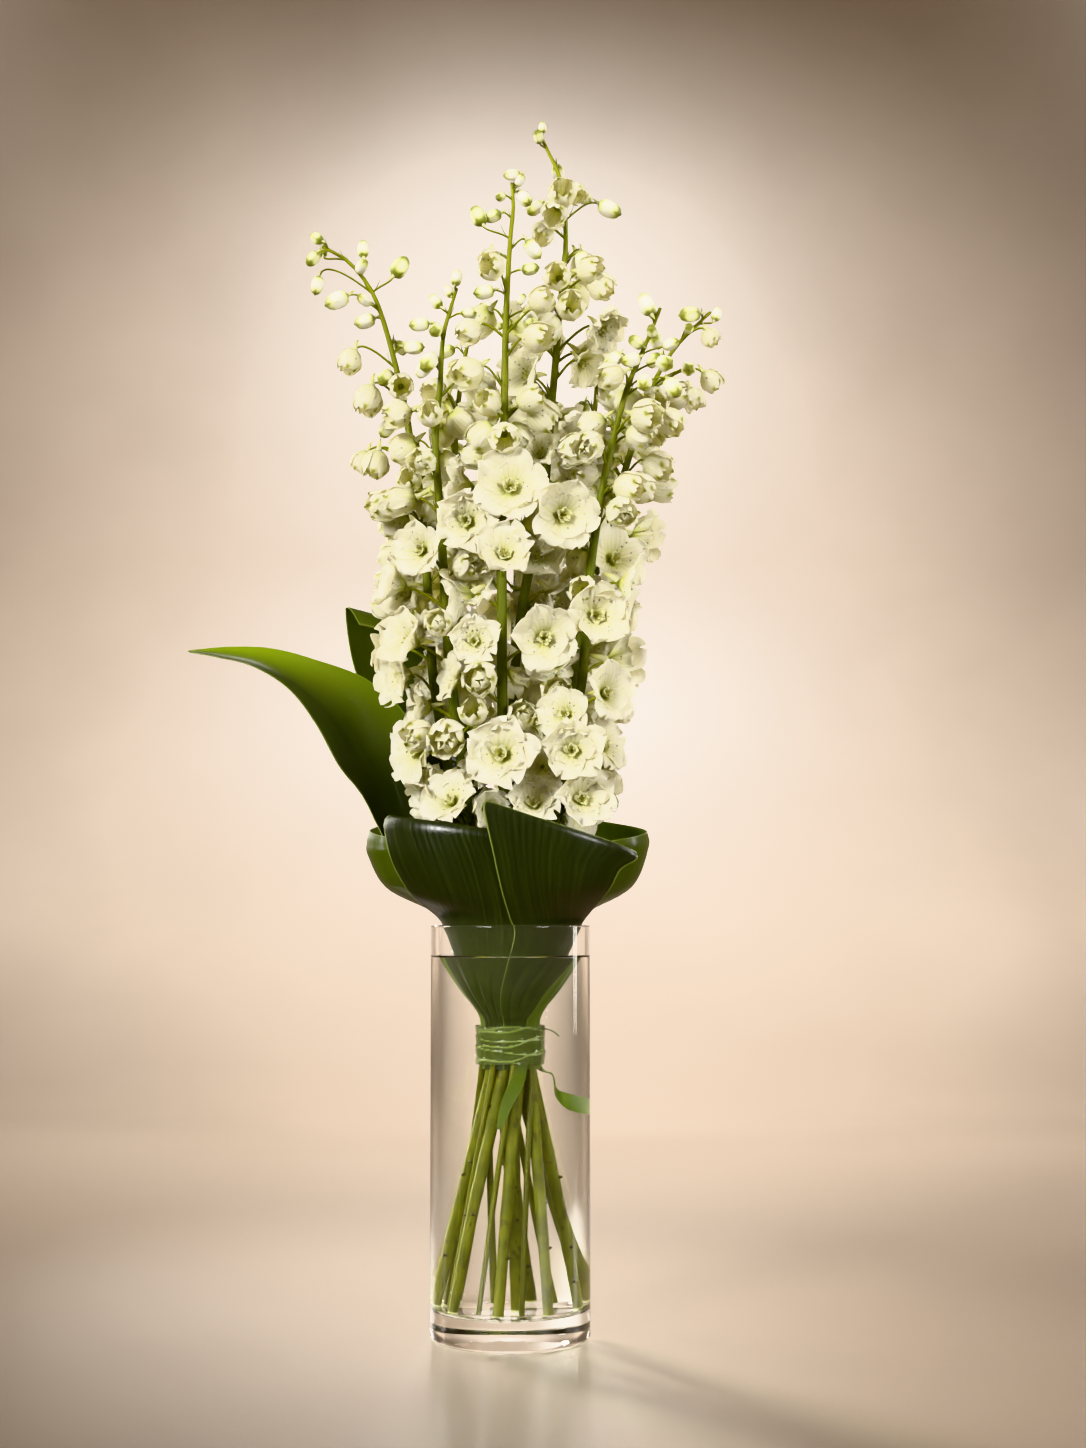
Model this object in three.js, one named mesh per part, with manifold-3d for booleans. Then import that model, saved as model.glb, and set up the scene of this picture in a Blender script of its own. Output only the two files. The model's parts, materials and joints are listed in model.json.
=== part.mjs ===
// A hand-tied bunch of white delphinium spikes in a collar of folded aspidistra leaves, standing in a
// clear cylinder vase filled with water almost to the brim.
// Millimetres, +Z up. The origin is the middle of the vase's underside, and the bunch faces -Y.
import * as THREE from "three";
import { mergeVertices } from "three/addons/utils/BufferGeometryUtils.js";
import Module from "manifold-3d";

const wasm = await Module();
wasm.setup();

// ---- driving dimensions ----
const VASE = { radius: 50, height: 256, wall: 3.2, base: 18, edge: 2.4, lip: 1.2, sides: 30 };
const WATER = { level: 236, sides: 24 };
const GAP = 0.3; // between touching pieces
const HOLE = 0.5; // room round each stem in the water
const NECK = { low: 166, waist: 182, high: 198, ring: 8.85, flare: 0.85 };
const STEM = { foot: 3.2, tip: 1.0, step: 40, lift: 0.4 };
const SPREAD = { slot: -107, low: -38, foot: 38 }; // degrees round the neck, twist below it, ring at the foot
const LEAF = { thick: 0.7, strip: 13.6, layer: 1.9, petiole: 1.5, petioleFoot: 31 };
const TIE = { low: 170, high: 194, inner: 15.5, outer: 16.9, turns: 3, sides: 18 };

const FACES = { stem: 5, petiole: 4 };
const COLOURS = {
  glass: "#e8eeec",
  water: "#eef3ee",
  stem: "#6f8420",
  petal: "#f3f1e2",
  leaf: "#1d2f0c",
  leafLight: "#5d8418",
  tie: "#dfe6d6",
};

// ---- vectors as [x, y, z] ----
const add = (a, b) => [a[0] + b[0], a[1] + b[1], a[2] + b[2]];
const sub = (a, b) => [a[0] - b[0], a[1] - b[1], a[2] - b[2]];
const mul = (a, k) => [a[0] * k, a[1] * k, a[2] * k];
const dot = (a, b) => a[0] * b[0] + a[1] * b[1] + a[2] * b[2];
const cross = (a, b) => [
  a[1] * b[2] - a[2] * b[1],
  a[2] * b[0] - a[0] * b[2],
  a[0] * b[1] - a[1] * b[0],
];
const size = (a) => Math.sqrt(dot(a, a));
const unit = (a) => mul(a, 1 / size(a));
const blend = (a, b, t) => add(mul(a, 1 - t), mul(b, t));
const clamp = (v, low, high) => Math.min(Math.max(v, low), high);
const mix = (a, b, t) => a + (b - a) * t;
const rad = (degrees) => (degrees * Math.PI) / 180;
const ray = (degrees) => [Math.cos(rad(degrees)), Math.sin(rad(degrees)), 0];

// A repeatable number from 0 to 1 for a whole number.
function chance(n) {
  const s = Math.sin(n * 12.9898 + 4.1414) * 43758.5453;
  return s - Math.floor(s);
}

// A smooth curve through rows of numbers whose last one rises from row to row.
function through(rows, at) {
  const last = rows.length - 1;
  const key = rows[0].length - 1;
  let k = 0;
  while (k < last - 1 && at > rows[k + 1][key]) k++;
  const slope = (j, c) => {
    const p = rows[Math.max(j - 1, 0)];
    const q = rows[Math.min(j + 1, last)];
    return (q[c] - p[c]) / (q[key] - p[key]);
  };
  const h = rows[k + 1][key] - rows[k][key];
  const t = clamp((at - rows[k][key]) / h, 0, 1);
  const [t2, t3] = [t * t, t * t * t];
  const value = (c) =>
    (2 * t3 - 3 * t2 + 1) * rows[k][c] +
    (t3 - 2 * t2 + t) * h * slope(k, c) +
    (3 * t2 - 2 * t3) * rows[k + 1][c] +
    (t3 - t2) * h * slope(k + 1, c);
  return rows[0].slice(0, key).map((_, c) => value(c));
}

// ---- solids ----
function geometryOf(points, faces) {
  const geometry = new THREE.BufferGeometry();
  geometry.setAttribute("position", new THREE.Float32BufferAttribute(points.flat(), 3));
  geometry.setIndex(faces.flat());
  return geometry;
}

function solid(geometry) {
  const bare = geometry.index ? geometry.toNonIndexed() : geometry.clone();
  bare.deleteAttribute("normal");
  bare.deleteAttribute("uv");
  const merged = mergeVertices(bare, 1e-4);
  const mesh = { numProp: 3, vertProperties: merged.attributes.position.array };
  const body = new wasm.Manifold(new wasm.Mesh({ ...mesh, triVerts: new Uint32Array(merged.index.array) }));
  return body.volume() < 0 ? solid(turned(merged)) : body;
}

function turned(geometry) {
  const index = geometry.index.array;
  for (let i = 0; i < index.length; i += 3) [index[i + 1], index[i + 2]] = [index[i + 2], index[i + 1]];
  return geometry;
}

// The largest body of a solid, with its shortest edges closed up, as a geometry.
function finished(body) {
  const pieces = body.simplify(0.01).decompose();
  pieces.sort((a, b) => b.volume() - a.volume());
  const { vertProperties, triVerts } = pieces[0].getMesh();
  const geometry = new THREE.BufferGeometry();
  geometry.setAttribute("position", new THREE.BufferAttribute(vertProperties, 3));
  geometry.setIndex(new THREE.BufferAttribute(triVerts, 1));
  const loose = geometry.toNonIndexed();
  loose.computeVertexNormals();
  return loose;
}

// Rings of equally many points joined in a closed skin, with a fan over each end.
function lofted(rings) {
  const n = rings[0].length;
  const faces = [];
  rings.slice(1).forEach((_, r) => {
    for (let i = 0; i < n; i++) {
      const [a, b] = [r * n + i, r * n + ((i + 1) % n)];
      faces.push([a, b, b + n], [a, b + n, a + n]);
    }
  });
  const end = (rings.length - 1) * n;
  for (let i = 1; i < n - 1; i++) faces.push([0, i + 1, i], [end, end + i, end + i + 1]);
  return geometryOf(rings.flat(), faces);
}

// A ring of points round a centre, across a direction.
function ringAt(centre, along, radius, sides, turn = 0) {
  const out = unit(cross(along, Math.abs(along[1]) > 0.9 ? [1, 0, 0] : [0, 1, 0]));
  const up = cross(along, out);
  return Array.from({ length: sides }, (_, i) => {
    const a = turn + (2 * Math.PI * i) / sides;
    return add(centre, add(mul(out, radius * Math.cos(a)), mul(up, radius * Math.sin(a))));
  });
}

// A rod through points, with a radius at each.
function rod(points, radii, sides) {
  const last = points.length - 1;
  return lofted(
    points.map((p, i) => {
      const along = unit(sub(points[Math.min(i + 1, last)], points[Math.max(i - 1, 0)]));
      return ringAt(p, along, Array.isArray(radii) ? radii[i] : radii, sides);
    }),
  );
}

// A blade of even thickness over a grid of points, split into triangles alike on both faces.
function sheet(grid, thick) {
  const [rows, columns] = [grid.length, grid[0].length];
  const at = (r, c) => grid[clamp(r, 0, rows - 1)][clamp(c, 0, columns - 1)];
  const normal = (r, c) =>
    unit(cross(sub(at(r + 1, c), at(r - 1, c)), sub(at(r, c + 1), at(r, c - 1))));
  const face = (side) =>
    grid.flatMap((row, r) => row.map((p, c) => add(p, mul(normal(r, c), (side * thick) / 2))));
  const half = rows * columns;
  const faces = [];
  for (let r = 0; r < rows - 1; r++)
    for (let c = 0; c < columns - 1; c++) {
      const a = r * columns + c;
      const [b, d, e] = [a + 1, a + columns, a + columns + 1];
      faces.push([a, b, e], [a, e, d], [half + a, half + e, half + b], [half + a, half + d, half + e]);
    }
  const rim = [
    ...Array.from({ length: columns - 1 }, (_, c) => [c, c + 1]),
    ...Array.from({ length: rows - 1 }, (_, r) => [(r + 1) * columns - 1, (r + 2) * columns - 1]),
    ...Array.from({ length: columns - 1 }, (_, c) => [half - 1 - c, half - 2 - c]),
    ...Array.from({ length: rows - 1 }, (_, r) => [half - columns * (r + 1), half - columns * (r + 2)]),
  ];
  for (const [a, b] of rim) faces.push([b, a, half + a], [b, half + a, half + b]);
  return geometryOf([...face(1), ...face(-1)], faces);
}

// A profile of [radius, z] points turned round +Z.
function turnedRound(profile, sides) {
  const points = profile.map(([r, z]) => new THREE.Vector2(r, z));
  return new THREE.LatheGeometry(points, sides).rotateX(Math.PI / 2);
}

// ---- vase ----
function vaseGeometry() {
  const { radius, height, wall, base, edge, lip, sides } = VASE;
  const inner = radius - wall;
  const round = (x, z, r, from, to, steps) =>
    Array.from({ length: steps + 1 }, (_, i) => {
      const a = rad(mix(from, to, i / steps));
      return [x + r * Math.cos(a), z + r * Math.sin(a)];
    });
  const profile = [
    [0, 0],
    ...round(radius - edge, edge, edge, -90, 0, 2),
    ...round(radius - lip, height - lip, lip, 0, 90, 1),
    ...round(inner + lip / 2, height - lip / 2, lip / 2, 90, 180, 1),
    ...round(inner - edge * 2, base + edge * 2, edge * 2, 0, -90, 2),
    [0, base],
  ];
  return turnedRound(profile, sides);
}

// ---- stems ----
// Each spike's axis above the neck, as [x, y, z] knots, with the stretch that bears flowers.
// open and bell are the heights up to which its flowers are open, then half open.
const SPIKES = [
  {
    name: "front", slot: 0, flowers: 17, from: 350, open: 530, bell: 655, out: -93,
    axis: [[-4.6, -36, 404], [-4.7, -40, 461], [-4.5, -42, 524], [-3.5, -42, 556], [-2.5, -38, 623],
      [0, -33, 677], [2, -30, 700], [1, -28, 716]],
  },
  {
    name: "front_right", slot: 1, flowers: 15, from: 346, open: 480, bell: 585, out: -36,
    axis: [[44, -31, 404], [48, -34, 461], [57, -35, 524], [64, -35, 556], [73, -34, 588],
      [85, -32, 617], [93, -30, 637]],
  },
  {
    name: "right", slot: 2, flowers: 16, from: 346, open: 530, bell: 585, out: 6,
    axis: [[38, 4, 404], [52, 6, 475], [66, 8, 524], [76, 8, 556], [86, 8, 590],
      [104, 8, 623], [127, 6, 646]],
  },
  {
    name: "back_right", slot: 3, flowers: 19, from: 344, open: 500, bell: 590, out: 45,
    axis: [[32, 36, 404], [40, 42, 461], [46, 45, 524], [50, 46, 556], [55, 46, 600], [57, 44, 642]],
  },
  {
    name: "back", slot: 4, flowers: 19, from: 344, open: 510, bell: 600, out: 88,
    axis: [[0, 44, 404], [3, 50, 461], [4, 54, 524], [4, 56, 588], [2, 54, 640], [0, 52, 668]],
  },
  {
    name: "back_left", slot: 5, flowers: 19, from: 344, open: 500, bell: 600, out: 133,
    axis: [[-32, 36, 404], [-36, 40, 461], [-38, 42, 524], [-36, 42, 588], [-28, 40, 640], [-20, 38, 662]],
  },
  {
    name: "left", slot: 6, flowers: 13, from: 366, open: 470, bell: 540, out: 182,
    axis: [[-48, 8, 404], [-52, 5, 461], [-57, 3, 524], [-62.5, 3, 556], [-68, 3, 588], [-78, 2, 629],
      [-88, 0, 657], [-103, -2, 676], [-119, -3, 685]],
  },
  {
    name: "front_left", slot: 7, flowers: 18, from: 346, open: 500, bell: 590, out: 212,
    axis: [[-36, -24, 404], [-40, -28, 461], [-44, -31, 524], [-46, -32, 556], [-43, -32, 588],
      [-41, -31, 620], [-33, -28, 650]],
  },
  {
    name: "middle", slot: -1, flowers: 14, from: 486, open: 650, bell: 705, out: 60,
    axis: [[2, 1, 404], [8, 4, 461], [20, 10, 524], [22, 11, 540], [26, 12, 588], [29, 12, 623],
      [33, 12, 671], [35, 10, 693], [32, 8, 730], [20, 8, 758]],
  },
];

// Knots of the whole axis: foot, the three of the bound neck, and those above it.
function axisOf(spike) {
  const { slot, axis } = spike;
  const ring = (radius, degrees, z) => [...mul(ray(degrees), radius).slice(0, 2), z];
  const foot = VASE.base + GAP + STEM.lift * (1 + Math.max(slot, 0) % 3);
  if (slot < 0) {
    const up = [[0, 0, NECK.waist], [0, 0, NECK.high]];
    return [ring(7, -60, foot), ring(0.4, -60, NECK.low), ...up, ...axis];
  }
  const degrees = SPREAD.slot + 45 * slot;
  const reach = SPREAD.foot - 2.5 * (slot % 2);
  return [
    ring(reach, degrees + SPREAD.low, foot),
    ring(NECK.ring + NECK.flare, degrees - 1.5, NECK.low),
    ring(NECK.ring, degrees, NECK.waist),
    ring(NECK.ring + NECK.flare, degrees + 1.5, NECK.high),
    ...axis,
  ];
}

for (const spike of SPIKES) {
  spike.knots = axisOf(spike);
  spike.tip = spike.knots.at(-1)[2];
  spike.foot = spike.knots[0][2];
}

const axisPoint = (spike, z) => [...through(spike.knots, z), z];

function stemRadius(spike, z) {
  const f = clamp((z - 330) / (spike.tip - 330), 0, 1);
  return mix(STEM.foot, STEM.tip, f ** 2.2);
}

// Heights at which the stem's rings stand: close in the neck, wider elsewhere.
function stemHeights(spike) {
  const heights = [spike.foot, 95, NECK.low, NECK.waist, NECK.high, 230, 270, 320, 365];
  const left = spike.tip - 365;
  const steps = Math.ceil(left / STEM.step);
  for (let i = 1; i <= steps; i++) heights.push(365 + (left * i) / steps);
  return heights;
}

function stemRod(spike) {
  const heights = stemHeights(spike);
  const points = heights.map((z) => axisPoint(spike, z));
  return rod(points, heights.map((z) => stemRadius(spike, z)), FACES.stem);
}

// ---- leaves ----
// The collar's funnel: radius at the sides, radius at the front and back, and height, from neck to brim.
const FUNNEL = [
  [13.6, 13.6, 160, 0], [13.6, 13.6, 180, 1], [13.6, 13.6, 196, 2], [16.4, 16.4, 205, 3],
  [23.5, 23.5, 217, 4], [32, 32, 234, 5], [38.6, 38.6, 252, 6], [44.5, 43.5, 262, 7],
  [60, 49, 269, 8], [76, 54, 280, 9], [84.5, 58, 294, 10], [86.5, 61, 308, 11],
  [85, 62, 322, 12], [82, 63, 336, 13],
];

// A point on the funnel: station u up it, azimuth, and distance outwards from its surface.
function onFunnel(u, degrees, out) {
  const side = Math.cos(rad(degrees)) ** 2;
  const profile = (v) => {
    const [wide, deep, z] = through(FUNNEL, v);
    return [mix(deep, wide, side), z];
  };
  const [r, z] = profile(u);
  const [r1, z1] = profile(u + 0.05);
  const [r0, z0] = profile(u - 0.05);
  const slope = Math.hypot(r1 - r0, z1 - z0);
  const reach = r + (out * (z1 - z0)) / slope;
  return [reach * Math.cos(rad(degrees)), reach * Math.sin(rad(degrees)), z - (out * (r1 - r0)) / slope];
}

// Rows of a leaf: each gives the point at t, from -1 at its left edge to 1 at its right.
const arc = (u, left, right, out, uRight = u, outRight = out) => (t) => {
  const k = (t + 1) / 2;
  return onFunnel(mix(u, uRight, k), mix(left, right, k), mix(out, outRight, k));
};
const span = (left, right, belly = [0, 0, 0]) => (t) =>
  add(blend(left, right, (t + 1) / 2), mul(belly, 1 - t * t));

// The strip in the bound neck, from which a leaf starts.
const strip = (left, right) => [arc(0.35, left, right, 0), arc(1, left, right, 0), arc(2, left, right, 0)];

const LEAVES = [
  {
    name: "leaf_front_left", gap: 7, columns: 6, colour: "leaf",
    rows: [
      ...strip(-152, -104),
      arc(3, -153, -103, LEAF.layer),
      arc(4, -160, -97, LEAF.layer),
      arc(5, -166, -86, LEAF.layer),
      arc(6, -168, -80, LEAF.layer),
      arc(7.2, -162, -82, 1.2 * LEAF.layer),
      arc(8.6, -152, -86, LEAF.layer),
      arc(10, -152, -90, LEAF.layer),
      arc(11.3, -155, -93, LEAF.layer, 10.6),
      arc(11.8, -156, -94, LEAF.layer, 11),
      arc(12.05, -155, -94, 0, 11.25),
      arc(11.85, -153, -94, -2.4, 11.05),
      arc(10.6, -148, -96, -3, 10.1),
      arc(9.4, -136, -104, -3, 9.1),
    ],
  },
  {
    name: "leaf_front_right", gap: 0, columns: 7, colour: "leaf",
    rows: [
      ...strip(-102, -54),
      arc(3, -103, -53, 2 * LEAF.layer),
      arc(4, -100, -45, 2 * LEAF.layer),
      arc(5, -92, -24, 2 * LEAF.layer),
      arc(6, -86, -6, 2 * LEAF.layer),
      arc(7.2, -90, -18, 2.2 * LEAF.layer),
      arc(9, -95, -33, 2 * LEAF.layer),
      arc(10.6, -99, -32, 2 * LEAF.layer, 9.8),
      arc(12.2, -103, -24, 2 * LEAF.layer, 10.2),
      arc(12.6, -102, -24, 1.4 * LEAF.layer, 10.5),
    ],
  },
  {
    name: "leaf_right", gap: 1, columns: 7, colour: "leafLight",
    rows: [
      ...strip(-52, 0),
      arc(3, -53, 1, 0),
      arc(4, -56, 12, 0),
      arc(5, -58, 26, 0),
      arc(6, -56, 38, 0),
      arc(7.2, -51, 45, 0),
      arc(9, -46, 50, 0),
      arc(10.4, -42, 52, 0, 11.2),
      arc(10.9, -38, 50, -0.6, 12.3),
    ],
  },
  {
    name: "leaf_back", gap: 3, columns: 7, colour: "leaf",
    rows: [
      ...strip(2, 69),
      arc(3, 3, 70, -LEAF.layer),
      arc(4, 14, 84, -LEAF.layer),
      arc(5, 28, 104, -LEAF.layer),
      arc(6, 34, 118, -LEAF.layer),
      arc(7.2, 38, 124, -LEAF.layer),
      arc(9, 42, 126, -LEAF.layer),
      arc(11, 44, 125, -LEAF.layer, 11.4),
      arc(12.4, 54, 120, -LEAF.layer, 12.2),
      arc(12.8, 60, 114, -2.3 * LEAF.layer, 12.6),
      arc(12, 64, 110, -3.2 * LEAF.layer, 12),
    ],
  },
  {
    name: "leaf_left", gap: 6, columns: 7, colour: "leafLight",
    rows: [
      ...strip(152, 206),
      arc(3, 151, 205, 0),
      arc(4, 148, 204, 0),
      arc(5, 146, 206, 0),
      arc(6, 145, 208, 0),
      arc(7.2, 144, 210, 0),
      arc(9, 144, 216, 4, 9, -1),
      arc(10.6, 146, 216, 8, 10.2, -2),
      arc(11.4, 150, 214, 8, 10.6, -2),
      arc(11.9, 154, 212, 6, 11, -2.5),
    ],
  },
  {
    name: "leaf_long", gap: 5, columns: 6, colour: "leaf",
    rows: [
      ...strip(108, 150),
      arc(3, 109, 149, -LEAF.layer),
      arc(4, 116, 154, -2 * LEAF.layer),
      arc(5, 126, 168, -2 * LEAF.layer),
      arc(6, 134, 178, -2 * LEAF.layer),
      arc(7.2, 140, 184, -2 * LEAF.layer),
      span([-47, 30, 280], [-64, 6, 280], [-2, 3, 0]),
      span([-52, 32, 314], [-81, 10, 312], [-3, 5, 0]),
      span([-57, 32, 350], [-94, 8, 338], [-2, 8, 0]),
      span([-66, 28, 388], [-108, 2, 356], [0, 8, -2]),
      span([-92, 22, 413], [-122, -4, 382], [2, 6, -3]),
      span([-125, 14, 425], [-138, -10, 403], [1, 4, -3]),
      span([-152, 6, 431], [-160, -12, 417], [0, 2, -3]),
      span([-178, 0, 431], [-182, -10, 423], [0, 1, -1.5]),
      span([-201, -5, 428], [-202, -7, 427], [0, 0, 0]),
    ],
  },
  {
    name: "leaf_upright", gap: 4, columns: 6, colour: "leaf",
    rows: [
      ...strip(71, 106),
      arc(3, 72, 107, -LEAF.layer),
      arc(4, 84, 113, -2 * LEAF.layer),
      arc(5, 102, 134, -3 * LEAF.layer),
      arc(6, 110, 148, -3 * LEAF.layer),
      span([-18, 46, 290], [-47, 39, 292], [-2, 4, 0]),
      span([-26, 52, 335], [-66, 42, 335], [-3, 6, 0]),
      span([-36, 62, 385], [-88, 48, 385], [-3, 8, 0]),
      span([-50, 64, 425], [-103, 44, 425], [-2, 8, 0]),
      span([-64, 60, 452], [-108, 40, 458], [-1, 5, 0]),
      span([-66, 55, 455], [-105, 35, 461], [0, 3, 0]),
      span([-64, 50, 446], [-98, 33, 450], [0, 2, 0]),
    ],
  },
];

// A point of the leaf's blade, s along its rows and t across it, on smooth curves through the rows.
function bladePoint(leaf, s, t) {
  return through(leaf.rows.map((row, i) => [...row(t), i]), s);
}

function bladeGrid(leaf) {
  return leaf.rows.map((_, s) =>
    Array.from({ length: leaf.columns + 1 }, (_, c) => bladePoint(leaf, s, (2 * c) / leaf.columns - 1)),
  );
}

// The leaf stalk: from the middle of its strip down between two stems to the vase floor.
function petiolePoints(leaf) {
  const degrees = SPREAD.slot + 45 * (leaf.gap + 0.5);
  const foot = mul(ray(degrees + SPREAD.low), LEAF.petioleFoot);
  const low = mul(ray(degrees), LEAF.strip);
  return [
    [foot[0], foot[1], VASE.base + GAP + 1],
    [...blend(foot, low, 0.5).slice(0, 2), mix(VASE.base, NECK.low, 0.5)],
    [low[0], low[1], NECK.low],
    [low[0], low[1], NECK.waist],
  ];
}

function leafGeometry(leaf) {
  const stalk = solid(rod(petiolePoints(leaf), LEAF.petiole, FACES.petiole));
  return finished(solid(sheet(bladeGrid(leaf), LEAF.thick)).add(stalk));
}

// Tips of folded leaves that are caught under the tie and hang below it in the water.
const caught = (left, right, z) => (t) => {
  const [x, y] = mul(ray(mix(left, right, (t + 1) / 2)), TIE.inner - 0.8);
  return [x, y, z];
};
const TAILS = [
  {
    name: "leaf_tip_front", columns: 2,
    rows: [
      caught(-79, -56, 190),
      caught(-79, -56, 168),
      span([-1, -19.5, 158], [7.5, -18, 160]),
      span([-5, -24, 146], [2, -23.5, 147]),
      span([-7, -27, 132], [-5, -27, 132]),
    ],
  },
  {
    name: "leaf_tip_side", columns: 2,
    rows: [
      caught(15, 38, 190),
      caught(15, 38, 168),
      span([19.5, 4, 163], [18.5, 9, 163]),
      span([21, 4, 150], [20.5, 9, 154]),
      span([26, 4, 142], [26.5, 7.5, 151]),
      span([34, 4, 138.5], [34.5, 6, 148.5]),
      span([43, 4, 137], [43.5, 5.5, 146.5]),
    ],
  },
];
function tailGrid({ rows, columns }, wide = 1) {
  return rows.map((row) =>
    Array.from({ length: columns + 1 }, (_, c) => row(((2 * c) / columns - 1) * wide)),
  );
}

// ---- tie ----
// A ring of turns, each a low ridge, with one short end standing off.
function tieGeometry() {
  const { low, high, inner, outer, turns, sides } = TIE;
  const profile = [[inner, low], [outer - 0.5, low]];
  for (let i = 0; i < turns; i++) {
    profile.push([outer, mix(low, high, (i + 0.5) / turns)], [outer - 0.5, mix(low, high, (i + 1) / turns)]);
  }
  profile.push([inner, high], [inner, low]);
  const ring = solid(turnedRound(profile, sides));
  const end = solid(rod([[outer - 1, -2, 192], [outer + 3, -3, 190.5], [outer + 7, -4, 187]], 0.5, 3));
  return finished(ring.add(end));
}

// ---- water ----
// Points of a stem with its foot carried on downwards, past the water's floor.
const lengthened = ([foot, next, ...rest]) => [add(foot, mul(unit(sub(foot, next)), 4)), next, ...rest];

// A plain cylinder, open where the stems, the leaf stalks and the bound leaves stand in it.
function waterGeometry() {
  const radius = VASE.radius - VASE.wall - GAP;
  const low = VASE.base + GAP;
  const corner = VASE.edge * 2;
  const profile = [
    [0, low],
    [radius - corner, low],
    [radius - corner * 0.35, low + corner * 0.35],
    [radius, low + corner],
    [radius, WATER.level],
    [0, WATER.level],
  ];
  const body = solid(turnedRound(profile, WATER.sides));
  const room = 2 * LEAF.layer + LEAF.thick + 0.8;
  const funnel = [2.2, 3, 4, 5, 6].map((u) => {
    const [r, , z] = onFunnel(u, 0, room);
    return [r, z];
  });
  const collar = TIE.outer + HOLE;
  const below = NECK.low - 8;
  const core = [[0, below], [collar, below], [collar, TIE.high], ...funnel, [0, funnel.at(-1)[1]]];
  const holes = [solid(turnedRound(core, TIE.sides))];
  for (const spike of SPIKES) {
    const points = stemHeights(spike).filter((z) => z <= NECK.low).map((z) => axisPoint(spike, z));
    holes.push(solid(rod(lengthened(points), STEM.foot + HOLE, FACES.stem)));
  }
  for (const leaf of LEAVES) {
    const points = petiolePoints(leaf).slice(0, 3);
    holes.push(solid(rod(lengthened(points), LEAF.petiole + HOLE, FACES.petiole)));
  }
  for (const tail of TAILS) {
    const grid = tailGrid(tail, 1.5);
    const [before, end] = grid.slice(-2);
    grid.push(end.map((p, c) => add(p, mul(sub(p, before[c]), 0.2))));
    holes.push(solid(sheet(grid, LEAF.thick + 4 * HOLE)));
  }
  holes.push(solid(rod([[TIE.outer - 1, -2, 192], [TIE.outer + 8.5, -4.4, 186]], 1.6, 4)));
  return finished(body.subtract(wasm.Manifold.union(holes)));
}

// ---- flowers ----
// Head shapes of unit size, facing +w: rings of [radius, w] points from the stalk's joint to the front,
// with every second point of the first ring drawn in where the petals are notched.
const HEADS = {
  open: { rings: [[1, 0, 10], [0.44, 0.2, 5]], notch: [0.76, -0.1], front: -0.04, joint: -0.5, spur: 0.42 },
  bell: { rings: [[0.8, -0.5, 5], [1, 0.75, 5]], front: 0.3, joint: -1.05, spur: 0.6 },
  bud: { rings: [[0.84, -0.7, 4], [0.84, 0.5, 4]], front: 1.25, joint: -1.35, spur: 0.8 },
};
const STALK = { open: 1.0, bell: 0.9, bud: 0.75 };

// Axes across and up for something that faces a way.
function sidesOf(facing) {
  const across = unit(cross([0, 0, 1], facing));
  return [across, cross(facing, across)];
}

// A ring of points round a centre with its angles, the first angle lowest: [point, degrees].
function headRing(centre, facing, count, turn, place) {
  const [across, up] = sidesOf(facing);
  return Array.from({ length: count }, (_, i) => {
    const degrees = (turn % (360 / count)) + (360 * i) / count;
    const [radius, w] = place(i);
    const [x, y] = mul(ray(degrees), radius);
    return [add(add(centre, mul(facing, w)), add(mul(across, x), mul(up, y))), degrees];
  });
}

// Triangles between two rings, stepping round each in turn; rings are [index, degrees] lists.
function zipped(low, high) {
  const faces = [];
  const angle = (ring, k) => ring[k % ring.length][1] + 360 * Math.floor(k / ring.length);
  const index = (ring, k) => ring[k % ring.length][0];
  let [i, j] = [0, 0];
  while (i < low.length || j < high.length) {
    const stepLow = j >= high.length || (i < low.length && angle(low, i + 1) <= angle(high, j + 1));
    faces.push([index(low, i), stepLow ? index(low, i + 1) : index(high, j + 1), index(high, j)]);
    if (stepLow) i++;
    else j++;
  }
  return faces;
}

// The rings of one flower: its stalk from the stem's middle, the joint with its spur, and the head.
function flowerRings({ kind, centre, facing, scale, roll }, stalk) {
  const { rings, notch, front, spur } = HEADS[kind];
  const thick = STALK[kind];
  const across = sidesOf(facing)[0];
  const last = stalk.length - 1;
  const stem = stalk.slice(0, -1).map((p, i) => {
    const along = unit(sub(stalk[i + 1], stalk[Math.max(i - 1, 0)]));
    const up = unit(cross(along, across));
    const out = cross(up, along);
    return [30, 150, 270].map((degrees) => {
      const [x, y] = mul(ray(degrees), thick);
      return [add(p, add(mul(out, x), mul(up, y))), degrees];
    });
  });
  const base = headRing(stalk[last], facing, 3, 30, (i) =>
    (i === 0 ? [0.3 * scale, -spur * scale] : [thick, 0]));
  const head = rings.map(([radius, w, count], r) =>
    headRing(centre, facing, count, roll + (r * 180) / count, (i) =>
      mul(notch && r === 0 && i % 2 ? notch : [radius, w], scale)),
  );
  return { stem, head: [base, ...head], tip: add(centre, mul(facing, front * scale)) };
}

function flowerGeometry(flower, stalk) {
  const { stem, head, tip } = flowerRings(flower, stalk);
  const points = [];
  const rings = [...stem, ...head].map((ring) => ring.map(([p, degrees]) => [points.push(p) - 1, degrees]));
  const faces = [rings[0].map(([index]) => index).reverse()];
  rings.slice(1).forEach((ring, i) => faces.push(...zipped(rings[i], ring)));
  const rim = rings.at(-1);
  const middle = points.push(tip) - 1;
  rim.forEach(([index], i) => faces.push([index, rim[(i + 1) % rim.length][0], middle]));
  return geometryOf(points, faces);
}

// A convex set for the room test: its points grown by a radius.
function blob(points, grow, owner, part) {
  const middle = mul(points.reduce(add), 1 / points.length);
  return { points, grow, owner, part, middle, reach: Math.max(...points.map((p) => size(sub(p, middle)))) };
}

const furthest = (points, along) => points.reduce((best, p) => (dot(p, along) > dot(best, along) ? p : best));

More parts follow.
